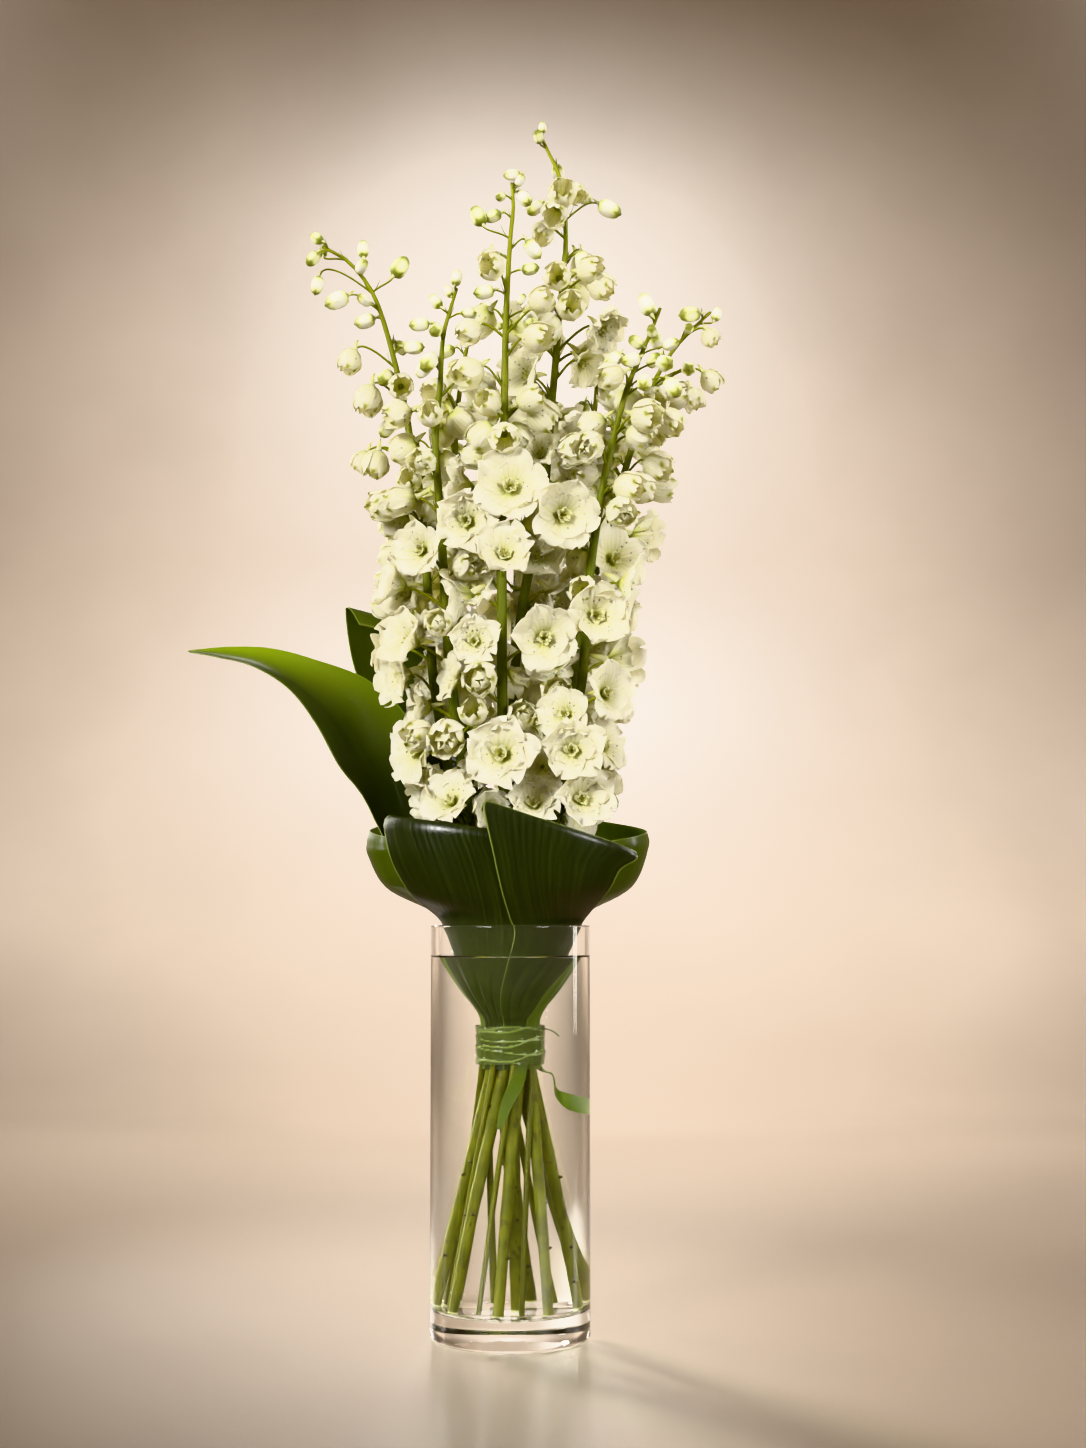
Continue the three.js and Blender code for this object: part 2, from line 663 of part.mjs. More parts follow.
// Whether two convex sets lie a gap apart: steps towards their nearest points until a plane parts them.
function apart(a, b, gap) {
  const need = gap + a.grow + b.grow;
  let v = sub(a.middle, b.middle);
  if (size(v) > a.reach + b.reach + need) return true;
  for (let step = 0; step < 14; step++) {
    const w = sub(furthest(a.points, mul(v, -1)), furthest(b.points, v));
    if (dot(v, w) > need * size(v)) return true;
    const d = sub(w, v);
    const t = clamp(-dot(v, d) / Math.max(dot(d, d), 1e-9), 0, 1);
    v = add(v, mul(d, t));
    if (size(v) < need || t === 0) return false;
  }
  return false;
}

// Flowers placed by hand on the side that faces front: kind, [x, y, z] of the face, size, azimuth, tilt.
const SHOWN = {
  front: [
    ["open", [1, -66, 519], 21, -88, 8],
    ["open", [22, -60, 428], 19, -80, -4],
    ["open", [-5, -62, 359], 22, -98, 6],
    ["open", [15, -46, 331], 17, -88, 26],
    ["bell", [-17, -58, 403], 12, -94, -14],
    ["bud", [1, -31, 720], 5.6, 180, -6],
    ["bud", [-6, -34, 705], 5.2, -130, -30],
    ["bud", [9, -26, 707], 5, -40, -50],
    ["bud", [-20, -30, 695], 5.8, 150, 62],
    ["bell", [-12, -36, 664], 8, -100, -60],
    ["bud", [-21, -30, 659], 4, 170, -10],
    ["bud", [-16, -36, 645], 6, 190, -12],
    ["bud", [13, -32, 661], 4.6, 0, 8],
    ["bud", [12, -38, 627], 6, -60, -50],
    ["bell", [-25, -44, 618], 8.5, 205, -36],
  ],
  front_left: [
    ["open", [-26, -60, 499], 22, -98, -4],
    ["open", [-21, -58, 427], 18, -92, 6],
    ["open", [-37, -44, 333], 17, -120, 30],
    ["bell", [-42, -55, 437], 11, -95, 4],
    ["bell", [-37, -54, 368], 13, -92, -22],
    ["bell", [-55, -44, 371], 12, -140, -16],
    ["bud", [-56, -32, 626], 5, 190, -8],
    ["bud", [-50, -40, 600], 6.4, -110, -40],
    ["bud", [-33, -30, 656], 5, 60, 70],
    ["bud", [-46, -31, 641], 4.4, 150, 50],
  ],
  front_right: [
    ["open", [34, -60, 502], 20, -70, -8],
    ["open", [38, -60, 361], 19, -88, 2],
    ["open", [45, -50, 333], 19, -70, 12],
    ["bud", [84, -35, 638], 6, 150, 66],
    ["bud", [95, -31, 640], 4, 40, 70],
    ["bud", [87, -40, 620], 4, -100, 20],
    ["bud", [77, -40, 613], 4.4, 200, 30],
    ["bud", [74, -42, 601], 5, 200, -20],
    ["bud", [99, -36, 613], 4.4, -30, 10],
    ["bud", [95, -42, 599], 6, -70, -20],
    ["bud", [82, -46, 586], 5.6, -100, -40],
    ["bud", [100, -38, 585], 6, -50, -50],
    ["bell", [61, -46, 590], 9, 200, -16],
    ["bell", [99, -38, 563], 9.5, -40, -48],
  ],
  right: [
    ["bud", [131, 6, 648], 4.6, 10, 20],
    ["bud", [113, 2, 643], 5.8, 190, -6],
    ["bud", [106, 10, 650], 3.6, 160, 50],
    ["bell", [127, 2, 628], 7.6, -20, -56],
    ["bud", [112, -6, 606], 5.4, -90, -20],
    ["bell", [116, 0, 588], 8, -50, -62],
    ["bell", [128, 8, 602], 8, 0, -44],
  ],
  left: [
    ["open", [-71, -18, 411], 20, -150, -6],
    ["open", [-80, -8, 433], 19, -165, -16],
    ["bud", [-123, -4, 690], 4.2, 150, 34],
    ["bud", [-125, -8, 675], 4.6, 205, -50],
    ["bud", [-123, 3, 662], 4.8, 160, -74],
    ["bud", [-107, -6, 668], 5, -30, -30],
    ["bud", [-94, 4, 686], 4.6, 100, 78],
    ["bud", [-70, 2, 674], 6.4, 20, 58],
    ["bud", [-110, -4, 650], 6.4, 190, -26],
    ["bud", [-93, 6, 640], 5.4, 175, -14],
    ["bell", [-102, -2, 612], 8.4, 200, -62],
    ["bud", [-61, -2, 621], 6.2, -10, -4],
    ["bell", [-90, -6, 586], 10, 200, -70],
    ["bell", [-68, -18, 592], 9, -84, -12],
    ["bell", [-85, -6, 545], 9.4, 200, -72],
    ["bell", [-95, 10, 550], 8, 170, -58],
  ],
  middle: [
    ["bud", [20, 8, 766], 5, 90, 84],
    ["bud", [15, 4, 712], 5, 210, -40],
    ["bell", [42, 0, 720], 7.4, -60, -34],
    ["bud", [51, 8, 734], 5.2, 30, 52],
    ["bud", [63, 8, 713], 6.4, -10, -28],
    ["bell", [20, 0, 694], 8.4, -110, -50],
    ["bud", [46, 6, 678], 6, -30, -74],
    ["bell", [58, 2, 661], 9.6, -24, -38],
    ["bell", [20, -6, 648], 9.6, -110, -20],
    ["bell", [38, -8, 646], 10.4, -80, 0],
    ["open", [60, -4, 631], 16, -36, -30],
  ],
};

// The stalk rises from the stem's middle and bends over into the back of the head.
function stalkPoints({ spike, kind, centre, facing, scale, rise }) {
  const joint = add(centre, mul(facing, HEADS[kind].joint * scale));
  const away = Math.hypot(...sub(joint, axisPoint(spike, joint[2])).slice(0, 2));
  const root = axisPoint(spike, clamp(joint[2] - away * rise, spike.foot, spike.tip - 2));
  if (kind === "bud") return [root, joint];
  const bend = blend(root, joint, 0.55);
  return [root, [bend[0], bend[1], mix(bend[2], joint[2], 0.5) + away * 0.06], joint];
}

// Heights on a spike's flowering stretch, evenly spaced along its axis: [height, share] rows.
function climb(spike) {
  const rows = [[spike.from, 0]];
  let before = axisPoint(spike, spike.from);
  for (let z = spike.from + 4; z < spike.tip + 4; z += 4) {
    const p = axisPoint(spike, Math.min(z, spike.tip));
    rows.push([p[2], rows.at(-1)[1] + size(sub(p, before))]);
    before = p;
  }
  return rows;
}

function heightAt(rows, share) {
  const length = share * rows.at(-1)[1];
  const k = Math.max(rows.findIndex((row) => row[1] >= length), 1);
  const [low, high] = [rows[k - 1], rows[k]];
  return mix(low[0], high[0], (length - low[1]) / Math.max(high[1] - low[1], 1e-6));
}

// The flowers that the rule wants on each spike, from its lowest to its tip.
function wanted() {
  const list = [];
  SPIKES.forEach((spike, n) => {
    const rows = climb(spike);
    for (let k = 0; k < spike.flowers; k++) {
      const u = k / (spike.flowers - 1);
      const z = heightAt(rows, u ** 0.9);
      const kind = z < spike.open ? "open" : z < spike.bell ? "bell" : "bud";
      const top = clamp((z - spike.bell) / (spike.tip - spike.bell), 0, 1);
      const seed = n * 100 + k;
      const wide = spike.slot < 0 ? 1 : mix(0.52, 1, clamp((z - 520) / 120, 0, 1));
      const spiral = ((k * 137.5 + n * 71 + 180) % 360) - 180;
      const scale = { open: 20 - 4 * u, bell: 11.5 - 2 * u, bud: mix(6.4, 3.8, top) }[kind];
      list.push({
        spike,
        kind,
        z,
        azimuth: spike.out + spiral * wide + (chance(seed) - 0.5) * 24,
        reach: { open: 27, bell: 25, bud: mix(21, 6, top) }[kind],
        scale: scale * mix(0.92, 1.08, chance(seed + 0.5)),
        tilt: { open: 2, bell: -24, bud: mix(-38, 60, top ** 3) }[kind] + (chance(seed + 0.25) - 0.5) * 34,
        rise: { open: 0.55, bell: 0.75, bud: mix(0.9, 0.5, top) }[kind],
        roll: chance(seed + 0.75) * 72,
        rank: { open: 0, bell: 1, bud: 2 }[kind] * 1000 + k * 10 + n,
      });
    }
  });
  return list.sort((a, b) => a.rank - b.rank);
}

// Everything that a flower has to keep clear of before the first is placed: stems and leaf blades.
function firstObstacles() {
  const blobs = [];
  for (const spike of SPIKES) {
    const heights = stemHeights(spike).filter((z) => z > 300);
    heights.slice(1).forEach((z, i) => {
      const points = [axisPoint(spike, heights[i]), axisPoint(spike, z)];
      blobs.push(blob(points, stemRadius(spike, heights[i]), spike.name, "stem"));
    });
  }
  for (const leaf of LEAVES) {
    const grid = bladeGrid(leaf);
    for (let r = 6; r < grid.length - 1; r++)
      for (let c = 0; c < leaf.columns; c++) {
        const corners = [grid[r][c], grid[r][c + 1], grid[r + 1][c], grid[r + 1][c + 1]];
        blobs.push(blob(corners, LEAF.thick, leaf.name, "leaf"));
      }
  }
  return blobs;
}

// A flower with its stalk and the room it takes, or nothing where it has none.
function fitted(flower, blobs) {
  const { spike, kind } = flower;
  const stalk = stalkPoints(flower);
  const { head, tip } = flowerRings(flower, stalk);
  const parts = [blob([...head.flat().map(([p]) => p), tip], 0, spike.name, "head")];
  stalk.slice(1).forEach((p, i) => parts.push(blob([stalk[i], p], STALK[kind], spike.name, "stalk")));
  for (const part of parts)
    for (const other of blobs) {
      const own = other.owner === spike.name;
      if (own && part.part === "stalk" && other.part !== "head") continue;
      if (!apart(part, other, own ? 0.1 : 0.45)) return null;
    }
  return { flower, stalk, parts };
}

const TURNS = [0, 13, -13, 27, -27, 42, -42];
const REACHES = [1, 1.2, 0.8];
const SCALES = [1, 0.86, 0.74, 0.62];
const facingOf = (azimuth, tilt) =>
  add(mul(ray(azimuth), Math.cos(rad(tilt))), [0, 0, Math.sin(rad(tilt))]);

function placedByRule(flower, blobs) {
  const [x, y] = axisPoint(flower.spike, flower.z);
  for (const shrink of SCALES)
    for (const stretch of REACHES)
      for (const turn of TURNS) {
        const azimuth = flower.azimuth + turn;
        const centre = add([x, y, flower.z], mul(ray(azimuth), flower.reach * stretch));
        const facing = facingOf(azimuth, flower.tilt);
        const found = fitted({ ...flower, centre, facing, scale: flower.scale * shrink }, blobs);
        if (found) return found;
      }
  return null;
}

function placedByHand(name, [kind, centre, scale, azimuth, tilt], order, blobs) {
  const spike = SPIKES.find((one) => one.name === name);
  const facing = facingOf(azimuth, tilt);
  const flower = { spike, kind, centre, facing, rise: 0.5, roll: chance(order) * 72 };
  for (const shrink of SCALES) {
    const found = fitted({ ...flower, scale: scale * shrink }, blobs);
    if (found) return found;
  }
  return null;
}

function allFlowers() {
  const blobs = firstObstacles();
  const kept = [];
  const keep = (found) => {
    if (!found) return;
    kept.push(found);
    blobs.push(...found.parts);
  };
  Object.entries(SHOWN).forEach(([name, rows], n) =>
    rows.forEach((row, k) => keep(placedByHand(name, row, n * 20 + k, blobs))),
  );
  for (const flower of wanted()) keep(placedByRule(flower, blobs));
  return kept;
}

const FLOWERS = allFlowers();

function spikeGeometry(spike) {
  const own = FLOWERS.filter(({ flower }) => flower.spike === spike);
  const flowers = own.map(({ flower, stalk }) => solid(flowerGeometry(flower, stalk)));
  return finished(wasm.Manifold.union([solid(stemRod(spike)), ...flowers]));
}

// ---- the whole piece ----
const group = new THREE.Group();

function piece(name, geometry, color, finish) {
  const mesh = new THREE.Mesh(geometry, new THREE.MeshStandardMaterial({ color, ...finish }));
  mesh.name = name;
  group.add(mesh);
}

const clear = (roughness, opacity) => ({ roughness, transparent: true, opacity });
piece("vase", finished(solid(vaseGeometry())), COLOURS.glass, clear(0.04, 0.3));
piece("water", waterGeometry(), COLOURS.water, clear(0.02, 0.2));
piece("tie", tieGeometry(), COLOURS.tie, { roughness: 0.2 });
for (const leaf of LEAVES) piece(leaf.name, leafGeometry(leaf), COLOURS[leaf.colour], { roughness: 0.28 });
for (const tail of TAILS) {
  const blade = finished(solid(sheet(tailGrid(tail), LEAF.thick)));
  piece(tail.name, blade, COLOURS.leafLight, { roughness: 0.3 });
}
for (const spike of SPIKES) {
  piece("spike_" + spike.name, spikeGeometry(spike), COLOURS.petal, { roughness: 0.6 });
}

export default group;
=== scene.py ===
"""A hand-tied bunch of white delphinium spikes in a collar of glossy folded leaves, in a vase of water.

Blender works in metres with +Z up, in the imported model's frame. Shapes are worked out in millimetres and
become metres where a mesh is made. The flowers, stems and leaves follow the same rules as the solids.
"""

import json
import math

import bpy
import numpy as np
from mathutils import Matrix, Vector

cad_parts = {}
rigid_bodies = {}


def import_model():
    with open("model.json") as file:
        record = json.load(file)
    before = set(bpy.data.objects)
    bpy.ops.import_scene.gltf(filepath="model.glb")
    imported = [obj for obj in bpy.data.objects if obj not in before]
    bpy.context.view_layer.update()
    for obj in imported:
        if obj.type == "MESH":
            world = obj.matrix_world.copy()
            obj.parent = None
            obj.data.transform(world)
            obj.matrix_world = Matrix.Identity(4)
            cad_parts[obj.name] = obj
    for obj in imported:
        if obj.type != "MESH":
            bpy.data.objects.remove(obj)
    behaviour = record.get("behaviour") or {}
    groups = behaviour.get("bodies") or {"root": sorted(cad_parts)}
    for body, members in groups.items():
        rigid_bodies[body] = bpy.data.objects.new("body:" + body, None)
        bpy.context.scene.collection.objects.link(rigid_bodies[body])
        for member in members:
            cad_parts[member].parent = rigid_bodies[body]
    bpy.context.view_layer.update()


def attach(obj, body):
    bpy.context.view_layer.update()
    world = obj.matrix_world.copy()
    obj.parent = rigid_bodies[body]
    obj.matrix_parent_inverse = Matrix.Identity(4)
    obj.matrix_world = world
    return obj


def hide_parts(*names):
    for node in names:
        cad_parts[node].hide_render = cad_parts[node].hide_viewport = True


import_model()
MM = 0.001

# ---- sizes shared with the solids, in millimetres and degrees ----
VASE = {"radius": 50, "height": 256, "wall": 3.2, "base": 18, "edge": 2.4, "lip": 1.2, "punt": 3, "rim": 9}
WATER = {"level": 236, "meniscus": 1.2, "into_glass": 0.12}
GAP = 0.3
NECK = {"low": 166, "waist": 182, "high": 198, "ring": 8.85, "flare": 0.85, "twist": 1.5}
STEM = {"foot": 3.2, "tip": 1.0, "step": 40, "lift": 0.4, "taper_from": 330, "low": 320, "even_from": 365}
SPREAD = {"slot": -107, "between": 45, "low": -38, "foot": 38, "stagger": 2.5}
LEAF = {"thick": 0.7, "strip": 13.6, "layer": 1.9, "petiole": 1.5, "petiole_foot": 31}
TIE = {"low": 170, "high": 194, "inner": 15.5}
LAYER = LEAF["layer"]
FREE = 6  # the row from which a leaf is free of the vase
# ---- sizes of the drawn surfaces ----
SIDES = 144  # round the vase and the water
TAPE = {"thick": 0.35, "inset": 0.3, "from": -262, "to": 98, "lap": 7, "cross": 9}
SMALL = {"bract": (5, 10), "stub": (1.0, 1.7), "stubs": 5}  # sizes of bracts and leaf stubs, stubs on a stem
SWEEP = {"turn": 1.3, "bend": 0.9, "top": 4.5, "half": 6, "front": -6, "under": 0.0003}


# ---- plain reckoning ----
def mix(a, b, t):
    return a + (b - a) * t


def clamp(value, low, high):
    return min(max(value, low), high)


def ray(degrees):
    return np.array([math.cos(math.radians(degrees)), math.sin(math.radians(degrees)), 0.0])


def unit(vector):
    return vector / np.linalg.norm(vector)


def chance(n):
    """A repeatable number from 0 to 1."""
    s = math.sin(n * 12.9898 + 4.1414) * 43758.5453
    return s - math.floor(s)


def through(keys, values, at):
    """Smooth curves through rows of values at rising keys, read at many places."""
    keys, values, at = (np.asarray(a, float) for a in (keys, values, at))
    row = np.arange(len(keys))
    low, high = np.maximum(row - 1, 0), np.minimum(row + 1, len(keys) - 1)
    slopes = (values[high] - values[low]) / (keys[high] - keys[low])[:, None]
    k = np.clip(np.searchsorted(keys, at, side="left") - 1, 0, len(keys) - 2)
    h = (keys[k + 1] - keys[k])[:, None]
    t = np.clip((at - keys[k])[:, None] / h, 0, 1)
    return (
        (2 * t**3 - 3 * t**2 + 1) * values[k]
        + (t**3 - 2 * t**2 + t) * h * slopes[k]
        + (3 * t**2 - 2 * t**3) * values[k + 1]
        + (t**3 - t**2) * h * slopes[k + 1]
    )


# ---- spikes ----
# Each spike's slot in the bound neck, how many flowers the rule asks for, heights from which they are open,
# half open and in bud, the way they face, and its axis above the neck.
SPIKES = {
    "front": (0, 17, 350, 530, 655, -93, [
        (-4.6, -36, 404), (-4.7, -40, 461), (-4.5, -42, 524), (-3.5, -42, 556), (-2.5, -38, 623),
        (0, -33, 677), (2, -30, 700), (1, -28, 716)]),
    "front_right": (1, 15, 346, 480, 585, -36, [
        (44, -31, 404), (48, -34, 461), (57, -35, 524), (64, -35, 556), (73, -34, 588), (85, -32, 617),
        (93, -30, 637)]),
    "right": (2, 16, 346, 530, 585, 6, [
        (38, 4, 404), (52, 6, 475), (66, 8, 524), (76, 8, 556), (86, 8, 590), (104, 8, 623),
        (127, 6, 646)]),
    "back_right": (3, 19, 344, 500, 590, 45, [
        (32, 36, 404), (40, 42, 461), (46, 45, 524), (50, 46, 556), (55, 46, 600), (57, 44, 642)]),
    "back": (4, 19, 344, 510, 600, 88, [
        (0, 44, 404), (3, 50, 461), (4, 54, 524), (4, 56, 588), (2, 54, 640), (0, 52, 668)]),
    "back_left": (5, 19, 344, 500, 600, 133, [
        (-32, 36, 404), (-36, 40, 461), (-38, 42, 524), (-36, 42, 588), (-28, 40, 640), (-20, 38, 662)]),
    "left": (6, 13, 366, 470, 540, 182, [
        (-48, 8, 404), (-52, 5, 461), (-57, 3, 524), (-62.5, 3, 556), (-68, 3, 588), (-78, 2, 629),
        (-88, 0, 657), (-103, -2, 676), (-119, -3, 685)]),
    "front_left": (7, 18, 346, 500, 590, 212, [
        (-36, -24, 404), (-40, -28, 461), (-44, -31, 524), (-46, -32, 556), (-43, -32, 588),
        (-41, -31, 620), (-33, -28, 650)]),
    "middle": (-1, 14, 486, 650, 705, 60, [
        (2, 1, 404), (8, 4, 461), (20, 10, 524), (22, 11, 540), (26, 12, 588), (29, 12, 623), (33, 12, 671),
        (35, 10, 693), (32, 8, 730), (20, 8, 758)]),
}


class Spike:
    """A stem's axis and what its flowers follow."""

    def __init__(self, name, slot, flowers, start, open_to, bell_to, out, axis):
        self.name, self.slot, self.flowers = name, slot, flowers
        self.start, self.open_to, self.bell_to, self.out = start, open_to, bell_to, out
        foot = VASE["base"] + GAP + STEM["lift"] * (1 + max(slot, 0) % 3)
        low, waist, high = NECK["low"], NECK["waist"], NECK["high"]
        if slot < 0:
            rings = [(7, -60, foot), (0.4, -60, low), (0, 0, waist), (0, 0, high)]
        else:
            degrees, wide = SPREAD["slot"] + SPREAD["between"] * slot, NECK["ring"] + NECK["flare"]
            rings = [(SPREAD["foot"] - SPREAD["stagger"] * (slot % 2), degrees + SPREAD["low"], foot),
                     (wide, degrees - NECK["twist"], low), (NECK["ring"], degrees, waist),
                     (wide, degrees + NECK["twist"], high)]
        self.knots = np.array([*[(*(ray(turn) * radius)[:2], z) for radius, turn, z in rings], *axis], float)
        self.foot, self.tip = self.knots[0, 2], self.knots[-1, 2]

    def points(self, heights):
        heights = np.asarray(heights, float)
        return np.column_stack([through(self.knots[:, 2], self.knots[:, :2], heights), heights])

    def point(self, z):
        return self.points([z])[0]

    def radius(self, z):
        share = clamp((z - STEM["taper_from"]) / (self.tip - STEM["taper_from"]), 0, 1)
        return mix(STEM["foot"], STEM["tip"], share**2.2)

    def heights(self):
        """The heights of the solid's joints above the collar."""
        left = self.tip - STEM["even_from"]
        steps = math.ceil(left / STEM["step"])
        return [STEM["low"], *[STEM["even_from"] + left * i / steps for i in range(steps + 1)]]


SPIKES = {name: Spike(name, *row) for name, row in SPIKES.items()}

# ---- leaves ----
# The collar's funnel: radius at the sides, radius at the front and back, and height, from neck to brim.
FUNNEL = np.array([
    (13.6, 13.6, 160), (13.6, 13.6, 180), (13.6, 13.6, 196), (16.4, 16.4, 205), (23.5, 23.5, 217),
    (32, 32, 234), (38.6, 38.6, 252), (44.5, 43.5, 262), (60, 49, 269), (76, 54, 280), (84.5, 58, 294),
    (86.5, 61, 308), (85, 62, 322), (82, 63, 336)])


def on_funnel(u, degrees, out):
    """A point on the funnel: station u up it, azimuth, and distance outwards from its surface."""
    side = math.cos(math.radians(degrees)) ** 2
    wide, deep, z = through(range(len(FUNNEL)), FUNNEL, [u, u + 0.05, u - 0.05]).T
    r = mix(deep, wide, side)
    slope = math.hypot(r[1] - r[2], z[1] - z[2])
    reach = r[0] + out * (z[1] - z[2]) / slope
    return np.array([*(ray(degrees) * reach)[:2], z[0] - out * (r[1] - r[2]) / slope])


def arc(u, left, right, out, u_right=None, out_right=None):
    """A row of a leaf that lies on the funnel, from its left edge at t = -1 to its right at 1."""
    u_right = u if u_right is None else u_right
    out_right = out if out_right is None else out_right
    ends = [(u, u_right), (left, right), (out, out_right)]
    return lambda t: on_funnel(*[mix(*pair, (t + 1) / 2) for pair in ends])


def span(left, right, belly=(0, 0, 0)):
    """A row of a leaf between two points, bellied out in its middle."""
    left, right, belly = (np.array(p, float) for p in (left, right, belly))
    return lambda t: mix(left, right, (t + 1) / 2) + belly * (1 - t * t)


def strip(left, right):
    """The three lowest rows of a leaf, where the tie holds it."""
    return [arc(u, left, right, 0) for u in (0.35, 1, 2)]


# Each leaf: the gap between stems that its stalk stands in, the solid's columns, and rows from neck to tip.
LEAVES = {
    "leaf_front_left": (7, 6, [
        *strip(-152, -104), arc(3, -153, -103, LAYER), arc(4, -160, -97, LAYER), arc(5, -166, -86, LAYER),
        arc(6, -168, -80, LAYER), arc(7.2, -162, -82, 1.2 * LAYER), arc(8.6, -152, -86, LAYER),
        arc(10, -152, -90, LAYER), arc(11.3, -155, -93, LAYER, 10.6), arc(11.8, -156, -94, LAYER, 11),
        arc(12.05, -155, -94, 0, 11.25), arc(11.85, -153, -94, -2.4, 11.05), arc(10.6, -148, -96, -3, 10.1),
        arc(9.4, -136, -104, -3, 9.1)]),
    "leaf_front_right": (0, 7, [
        *strip(-102, -54), arc(3, -103, -53, 2 * LAYER), arc(4, -100, -45, 2 * LAYER),
        arc(5, -92, -24, 2 * LAYER), arc(6, -86, -6, 2 * LAYER), arc(7.2, -90, -18, 2.2 * LAYER),
        arc(9, -95, -33, 2 * LAYER), arc(10.6, -99, -32, 2 * LAYER, 9.8),
        arc(12.2, -103, -24, 2 * LAYER, 10.2), arc(12.6, -102, -24, 1.4 * LAYER, 10.5)]),
    "leaf_right": (1, 7, [
        *strip(-52, 0), arc(3, -53, 1, 0), arc(4, -56, 12, 0), arc(5, -58, 26, 0), arc(6, -56, 38, 0),
        arc(7.2, -51, 45, 0), arc(9, -46, 50, 0), arc(10.4, -42, 52, 0, 11.2),
        arc(10.9, -38, 50, -0.6, 12.3)]),
    "leaf_back": (3, 7, [
        *strip(2, 69), arc(3, 3, 70, -LAYER), arc(4, 14, 84, -LAYER), arc(5, 28, 104, -LAYER),
        arc(6, 34, 118, -LAYER), arc(7.2, 38, 124, -LAYER), arc(9, 42, 126, -LAYER),
        arc(11, 44, 125, -LAYER, 11.4), arc(12.4, 54, 120, -LAYER, 12.2),
        arc(12.8, 60, 114, -2.3 * LAYER, 12.6), arc(12, 64, 110, -3.2 * LAYER, 12)]),
    "leaf_left": (6, 7, [
        *strip(152, 206), arc(3, 151, 205, 0), arc(4, 148, 204, 0), arc(5, 146, 206, 0),
        arc(6, 145, 208, 0), arc(7.2, 144, 210, 0), arc(9, 144, 216, 4, 9, -1),
        arc(10.6, 146, 216, 8, 10.2, -2), arc(11.4, 150, 214, 8, 10.6, -2),
        arc(11.9, 154, 212, 6, 11, -2.5)]),
    "leaf_long": (5, 6, [
        *strip(108, 150), arc(3, 109, 149, -LAYER), arc(4, 116, 154, -2 * LAYER),
        arc(5, 126, 168, -2 * LAYER), arc(6, 134, 178, -2 * LAYER), arc(7.2, 140, 184, -2 * LAYER),
        span((-47, 30, 280), (-64, 6, 280), (-2, 3, 0)), span((-52, 32, 314), (-81, 10, 312), (-3, 5, 0)),
        span((-57, 32, 350), (-94, 8, 338), (-2, 8, 0)), span((-66, 28, 388), (-108, 2, 356), (0, 8, -2)),
        span((-92, 22, 413), (-122, -4, 382), (2, 6, -3)),
        span((-125, 14, 425), (-138, -10, 403), (1, 4, -3)),
        span((-152, 6, 431), (-160, -12, 417), (0, 2, -3)),
        span((-178, 0, 431), (-182, -10, 423), (0, 1, -1.5)), span((-201, -5, 428), (-202, -7, 427))]),
    "leaf_upright": (4, 6, [
        *strip(71, 106), arc(3, 72, 107, -LAYER), arc(4, 84, 113, -2 * LAYER), arc(5, 102, 134, -3 * LAYER),
        arc(6, 110, 148, -3 * LAYER), span((-18, 46, 290), (-47, 39, 292), (-2, 4, 0)),
        span((-26, 52, 335), (-66, 42, 335), (-3, 6, 0)), span((-36, 62, 385), (-88, 48, 385), (-3, 8, 0)),
        span((-50, 64, 425), (-103, 44, 425), (-2, 8, 0)),
        span((-64, 60, 452), (-108, 40, 458), (-1, 5, 0)), span((-66, 55, 455), (-105, 35, 461), (0, 3, 0)),
        span((-64, 50, 446), (-98, 33, 450), (0, 2, 0))]),
}


def caught(left, right, z):
    """A row of a leaf tip where the tie holds it."""
    return lambda t: np.array([*(ray(mix(left, right, (t + 1) / 2)) * (TIE["inner"] - 0.8))[:2], z])


TAILS = {
    "leaf_tip_front": [caught(-79, -56, 190), caught(-79, -56, 168), span((-1, -19.5, 158), (7.5, -18, 160)),
                       span((-5, -24, 146), (2, -23.5, 147)), span((-7, -27, 132), (-5, -27, 132))],
    "leaf_tip_side": [caught(15, 38, 190), caught(15, 38, 168), span((19.5, 4, 163), (18.5, 9, 163)),
                      span((21, 4, 150), (20.5, 9, 154)), span((26, 4, 142), (26.5, 7.5, 151)),
                      span((34, 4, 138.5), (34.5, 6, 148.5)), span((43, 4, 137), (43.5, 5.5, 146.5))],
}


def blade_grid(rows, stations, across):
    """Points of a blade on smooth curves through its rows, at stations along it and places t across it."""
    columns = [through(range(len(rows)), [row(t) for row in rows], stations) for t in across]
    return np.stack(columns, axis=1)


def petiole_points(gap):
    """The leaf stalk's centre line, from the vase floor up between two stems."""
    degrees = SPREAD["slot"] + SPREAD["between"] * (gap + 0.5)
    foot, low = ray(degrees + SPREAD["low"]) * LEAF["petiole_foot"], ray(degrees) * LEAF["strip"]
    heights = (VASE["base"] + GAP + 1, mix(VASE["base"], NECK["low"], 0.5), NECK["low"], NECK["waist"])
    return np.array([(*place[:2], z) for place, z in zip((foot, mix(foot, low, 0.5), low, low), heights)])


# ---- where each flower stands ----
# Rings of unit size from the stalk's joint to the front: radius, place along the way it faces, and points.
# Only open heads are notched. The stalk's joint and the spur stand behind.
HEADS = {
    "open": {"rings": [(1, 0, 10), (0.44, 0.2, 5)], "front": -0.04, "joint": -0.5, "spur": 0.42},
    "bell": {"rings": [(0.8, -0.5, 5), (1, 0.75, 5)], "front": 0.3, "joint": -1.05, "spur": 0.6},
    "bud": {"rings": [(0.84, -0.7, 4), (0.84, 0.5, 4)], "front": 1.25, "joint": -1.35, "spur": 0.8},
}
NOTCH = (0.76, -0.1)
STALK = {"open": 1.0, "bell": 0.9, "bud": 0.75}

